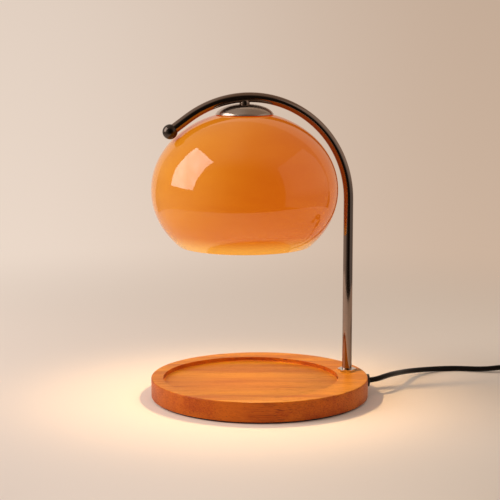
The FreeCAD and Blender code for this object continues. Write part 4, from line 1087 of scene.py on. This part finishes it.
def cord_sheath(name, colour):
    """Smooth black sheath: faint ripple of the drawn plastic, smudges and settled dust."""
    material, tree, shader, place = new_material(name, Specular_IOR_Level=0.10)
    kept = use_group(tree, "Handling", Vector=place, Roughness=0.32, Smudge=0.12, Dust=0.025)
    join(tree, shader, Base_Color=mix(tree, kept["Dust"], colour, SHEATH_DUST))
    ripple = bump(tree, noise(tree, place, RIPPLE_SCALE, 2.0), RIPPLE_RAISE)
    join(tree, shader, Roughness=kept["Roughness"], Normal=ripple)
    return material


# The pointer line. Each pair is where it begins to show, and where it is full.
POINTER_SIDE = 0.50 * MM, 0.40 * MM     # from its middle line
POINTER_START = 0.30, 0.33       # from the knob's axis, of the knob's radius
POINTER_END = 0.80, 0.77         # and its outer end
POINTER_TOP = -0.6 * MM, -0.5 * MM      # from the knob's top, so that it stays off the sides
POINTER_COLOUR = (0.62, 0.60, 0.56)


def pointer_plastic(name, colour, roughness):
    """Knob plastic with a pale pointer line on its top, from near the middle to the edge."""
    material = plastic(name, colour, roughness, 3e-6)
    tree = material.node_tree
    shader = tree.nodes["Principled BSDF"]
    moulded = shader.inputs["Base Color"].links[0].from_socket
    low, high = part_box("dimmer_knob")
    centre = ((low.x + high.x) / 2, (low.y + high.y) / 2, high.z)
    radius = (high.x - low.x) / 2
    x, y, z = parts(tree, seen_from(tree, object_place(tree), centre))
    across = remap(tree, calc(tree, "ABSOLUTE", y), *POINTER_SIDE)
    start = remap(tree, x, *(radius * share for share in POINTER_START))
    end = remap(tree, x, *(radius * share for share in POINTER_END))
    line = product(tree, across, product(tree, start, end), remap(tree, z, *POINTER_TOP))
    join(tree, shader, Base_Color=mix(tree, line, moulded, POINTER_COLOUR))
    return material


class LAMP_OT_dimmer(Operator):
    """Finishes the in-line dimmer and the plug"""

    bl_idname = "lamp.dimmer"
    bl_label = "Dimmer and plug"

    def execute(self, context):
        settings = context.scene.lamp_cord
        black = plastic("black plastic", settings.plastic, 0.42)
        dress(black, "dimmer_lower_case", "dimmer_upper_case", "plug_body")
        dress(pointer_plastic("knob plastic", settings.plastic, 0.30), "dimmer_knob")
        dress(plastic("circuit board", (0.02, 0.10, 0.04), 0.35), "dimmer_board")
        dress(metal("pot body", (0.30, 0.33, 0.38), 0.4, grain=6e-6), "dimmer_pot")
        return {"FINISHED"}


# ---------------------------------------------------------------- stage
def studio_point(stage, right, away, up):
    """A place given to the right of, behind and above the origin as the camera sees it.

    Right and away are turned about Z by the turn of the camera's view."""
    x = right * math.cos(stage.turn) + away * math.sin(stage.turn)
    y = -right * math.sin(stage.turn) + away * math.cos(stage.turn)
    return x, y, up


WARM = (1.0, 0.95, 0.91)         # colour of both soft lights


def soft_panel(stage, name, place, size, power):
    """A rectangular light that faces the middle of the shade. place is its bearing from there (0 at
    the camera's side, and positive to the right), its rise and its distance. size is its width and
    height."""
    bearing, rise, distance = place
    level = math.cos(rise) * distance
    x, y, z = studio_point(
        stage, math.sin(bearing) * level, -math.cos(bearing) * level, math.sin(rise) * distance
    )
    light = bpy.data.lights.new(name, "AREA")
    light.shape = "RECTANGLE"
    light.size, light.size_y = size
    light.energy = power
    light.color = WARM
    panel = add_object(name, light)
    panel.location = (shade_middle.x + x, shade_middle.y + y, shade_middle_z() + z)
    panel.rotation_euler = (TURN / 4 - rise, 0, bearing - stage.turn)
    panel.visible_camera = False
    return panel


# Soft lights: bearing, rise and distance, and width and height.
KEY_PLACE = math.radians(-81.6), math.radians(29.5), 1.25
KEY_SIZE = 0.85, 1.08
PALE_PLACE = math.radians(83), 0.0, 0.563
PALE_SIZE = 0.79, 0.76
PALE_HEIGHT = 0.385              # of the pale panel's middle, above the floor
FOLDS = (1.3, 3.2, 1.0), 1.0, 0.4, 0.5  # noise of the cloth: scales, detail, roughness and turn
FOLD_LEVELS = 0.32, 0.66, 0.74, 1.12    # that noise, low and high, and the light at each

# Floor: a lit table round the lamp, and a plain tone far off.
FLOOR_SIDES = 128
FLOOR_RADII = 0.002, 0.05, 14    # innermost ring, next ring, and rings from there to the edge
TABLE_MIDDLE = (0.03, 0.08, 0)   # in the studio's axes
TABLE_EDGE = 0.985, 1.02         # of the table's half sizes, where it ends
PLAIN_FLOOR = 0.25, 0.95         # from the origin, where the plain tone begins, and is full

# Room that metal and glass see. Agreement is of a ray's direction with a side's.
CEILING = 0.25, 0.76, 0.56, 0.03        # agreement with the camera's side, and the level at each
LOW_BAND = -0.12, 0.14, 0.15, 1.0       # upward part, and the share of that level at each
WALL_BEARING = math.radians(6)   # of the back wall's middle, to the right of straight behind
WALL_EDGE = 0.635, 0.685         # agreement with its middle, where the back wall ends
SIDE_LEVEL = 0.62                # of the room straight to the left
DARK_LEVEL = 0.03                # of the room where nothing is lit
WORLD_TINT = (1.0, 0.94, 0.88)   # colour of the even light
SKY_LIFT = 0.55                  # how much stronger the even light is from straight above


class LAMP_OT_stage(Operator):
    """Makes the floor, the lights, the world and the camera"""

    bl_idname = "lamp.stage"
    bl_label = "Stage"

    def execute(self, context):
        stage = context.scene.lamp_stage
        scene = context.scene
        scene.view_settings.view_transform = "Standard"

        camera_data = bpy.data.cameras.new("camera")
        camera_data.lens = stage.lens
        camera_data.clip_start = 0.02
        camera = add_object("camera", camera_data)
        camera.location = studio_point(stage, stage.side, -stage.distance, stage.height)
        camera.rotation_euler = (TURN / 4 - stage.drop, 0, -stage.turn)
        scene.camera = camera

        self.make_floor(stage, camera.location)
        self.make_world(stage, scene)
        key = soft_panel(stage, "key light", KEY_PLACE, KEY_SIZE, stage.key_power)
        self.fold_cloth(key.data)
        panel = soft_panel(stage, "pale panel", PALE_PLACE, PALE_SIZE, stage.fill_power)
        panel.location.z = PALE_HEIGHT
        return {"FINISHED"}

    @staticmethod
    def fold_cloth(light):
        """Faint folds in a soft light's cloth, which the glass shows."""
        light.use_nodes = True
        tree = light.node_tree
        place = put(tree, "ShaderNodeNewGeometry").outputs["Parametric"]
        level = remap(tree, stretched_noise(tree, place, *FOLDS), *FOLD_LEVELS)
        tree.links.new(level, tree.nodes["Emission"].inputs["Strength"])

    @staticmethod
    def make_floor(stage, station):
        """A round floor, of rings whose radii grow by an even ratio. Near the lamp it is a matt
        surface with a tone of its own, under the backdrop's painted light. Far from it the
        backdrop's tone is plain, so that it meets the world without an edge. Metal and glass see a
        lit table, with a dark room before it."""
        inner, start, count = FLOOR_RADII
        u = np.linspace(0, TURN, FLOOR_SIDES, endpoint=False)
        r = np.concatenate([[inner], np.geomspace(start, stage.floor_radius, count)])[:, None]
        rings = np.stack([r * np.cos(u), r * np.sin(u), np.zeros((len(r), len(u)))], -1)
        floor = ring_mesh("floor", rings)
        matt = {"Roughness": 0.95, "Specular_IOR_Level": 0.1}
        material, tree, shader, place = new_material("floor", **matt)
        way = put(tree, "ShaderNodeVectorMath", {0: place, 1: tuple(station)}, operation="SUBTRACT")
        near = painted_backdrop_tone(tree, stage, way.outputs[0], stage.floor_left, stage.floor_right)
        tone = painted_backdrop_tone(tree, stage, way.outputs[0], stage.lit_left_tone, stage.shaded_right_tone)
        tree.links.new(near, shader.inputs["Base Color"])

        size = (stage.table_width, stage.table_depth, 1)
        table = seen_from(tree, about_z(tree, place, stage.turn), TABLE_MIDDLE, size)
        before = calc(tree, "SUBTRACT", 1.0, back_wall(tree, stage, place))
        off_table = product(tree, remap(tree, vector_length(tree, table), *TABLE_EDGE), before)
        camera_ray = put(tree, "ShaderNodeLightPath").outputs["Is Camera Ray"]
        unlit = product(tree, off_table, calc(tree, "SUBTRACT", 1.0, camera_ray))
        level = mix(tree, unlit, (1, 1, 1), side_level(tree, stage, place))
        plain_tone = put(tree, "ShaderNodeEmission", {"Color": tone, "Strength": level})

        distant = remap(tree, vector_length(tree, place), *PLAIN_FLOOR, smooth=True)
        far = calc(tree, "MAXIMUM", distant, unlit)
        shown = product(tree, far, backdrop_rays(tree))
        sockets = {0: shown, 1: shader.outputs[0], 2: plain_tone.outputs[0]}
        both = put(tree, "ShaderNodeMixShader", sockets)
        tree.links.new(both.outputs[0], tree.nodes["Material Output"].inputs["Surface"])
        floor.data.materials.append(material)

    @staticmethod
    def make_world(stage, scene):
        """Pale backdrop for the camera, the same but darker on the camera's own side for metal and
        glass, and an even light for everything else, stronger from above."""
        world = bpy.data.worlds.new("studio")
        world.use_nodes = True
        scene.world = world
        tree = world.node_tree
        direction = put(tree, "ShaderNodeTexCoord").outputs["Generated"]
        tone = painted_backdrop_tone(tree, stage, direction, stage.lit_left_tone, stage.shaded_right_tone)
        up = parts(tree, direction)["Z"]
        facing = agreement(tree, direction, studio_point(stage, 0, -1, 0))
        ceiling = remap(tree, facing, *CEILING, smooth=True)
        low = remap(tree, up, *LOW_BAND, smooth=True)
        left = side_level(tree, stage, direction)
        room = calc(tree, "MAXIMUM", product(tree, ceiling, low), left)
        room = calc(tree, "MAXIMUM", room, back_wall(tree, stage, direction))
        dim = mix(tree, 1.0, tone, grey(tree, room), "MULTIPLY")
        camera_ray = put(tree, "ShaderNodeLightPath").outputs["Is Camera Ray"]
        shown = mix(tree, camera_ray, dim, tone)
        even = tuple(part * stage.world_level for part in WORLD_TINT)
        seen = backdrop_rays(tree)
        lift = remap(tree, up, 0.0, 1.0, 0.0, SKY_LIFT)
        above = product(tree, lift, calc(tree, "SUBTRACT", 1.0, seen))
        background = tree.nodes["Background"]
        tree.links.new(mix(tree, seen, even, shown), background.inputs["Color"])
        tree.links.new(calc(tree, "ADD", 1.0, above), background.inputs["Strength"])


def painted_backdrop_tone(tree, stage, direction, left, right):
    """The backdrop's tone in a direction, between a left and a right colour."""
    sides = {"Left": rgba(left), "Right": rgba(right)}
    return use_group(tree, "Backdrop tone and painted light", Direction=direction, Turn=stage.turn, **sides)["Color"]


def side_level(tree, stage, vector):
    """How bright the room is off the table: dark before the lamp, brighter to the left of it, with
    the square of how far a direction points that way."""
    towards = agreement(tree, one_long(tree, vector), studio_point(stage, -1, 0, 0))
    held = calc(tree, "MAXIMUM", towards, 0.0)
    return calc(tree, "MULTIPLY_ADD", product(tree, held, held), SIDE_LEVEL, DARK_LEVEL)


def back_wall(tree, stage, vector):
    """1 where a direction meets the lit wall behind the lamp."""
    middle = studio_point(stage, math.sin(WALL_BEARING), math.cos(WALL_BEARING), 0)
    return remap(tree, agreement(tree, one_long(tree, vector), middle), *WALL_EDGE)


def backdrop_rays(tree):
    """1 for rays that show the backdrop: from the camera, off metal and through glass."""
    path = put(tree, "ShaderNodeLightPath")
    mirrored = calc(tree, "MAXIMUM", path.outputs["Is Camera Ray"], path.outputs["Is Glossy Ray"])
    return calc(tree, "MAXIMUM", mirrored, path.outputs["Is Transmission Ray"])


# ---------------------------------------------------------------- panel and registration
class LAMP_PT_sidebar(Panel):
    """Lists the pieces and their settings"""

    bl_idname = "LAMP_PT_sidebar"
    bl_label = "Candle warmer lamp"
    bl_space_type = "VIEW_3D"
    bl_region_type = "UI"
    bl_category = "Lamp"

    def draw(self, context):
        for operator in OPERATORS:
            self.layout.operator(operator.bl_idname, text=operator.bl_label)
        for name, group in SETTINGS.items():
            column = self.layout.column(align=True)
            column.label(text=group.__doc__.split(".")[0])
            for label in group.__annotations__:
                column.prop(getattr(context.scene, name), label)


SETTINGS = {
    "lamp_stage": StageSettings,
    "lamp_base": BaseSettings,
    "lamp_metal": MetalSettings,
    "lamp_shade": ShadeSettings,
    "lamp_light": LampSettings,
    "lamp_cord": CordSettings,
}
OPERATORS = (
    LAMP_OT_stage,
    LAMP_OT_cord,
    LAMP_OT_base,
    LAMP_OT_metalwork,
    LAMP_OT_shade,
    LAMP_OT_reflector_lamp,
    LAMP_OT_dimmer,
)
GROUPS = (
    make_painted_tone_group,
    make_grain_group,
    make_handling_group,
    make_wear_and_highlight_group,
    make_moulding_group,
)


def register():
    for item in (*SETTINGS.values(), *OPERATORS, LAMP_PT_sidebar):
        bpy.utils.register_class(item)
    for name, group in SETTINGS.items():
        setattr(bpy.types.Scene, name, PointerProperty(type=group))


def unregister():
    for name in SETTINGS:
        delattr(bpy.types.Scene, name)
    for item in reversed((*SETTINGS.values(), *OPERATORS, LAMP_PT_sidebar)):
        bpy.utils.unregister_class(item)


def main():
    register()
    for make in GROUPS:
        make()
    for operator in OPERATORS:
        name = operator.bl_idname.partition(".")[2]
        getattr(bpy.ops.lamp, name)()


if __name__ == "__main__":
    main()
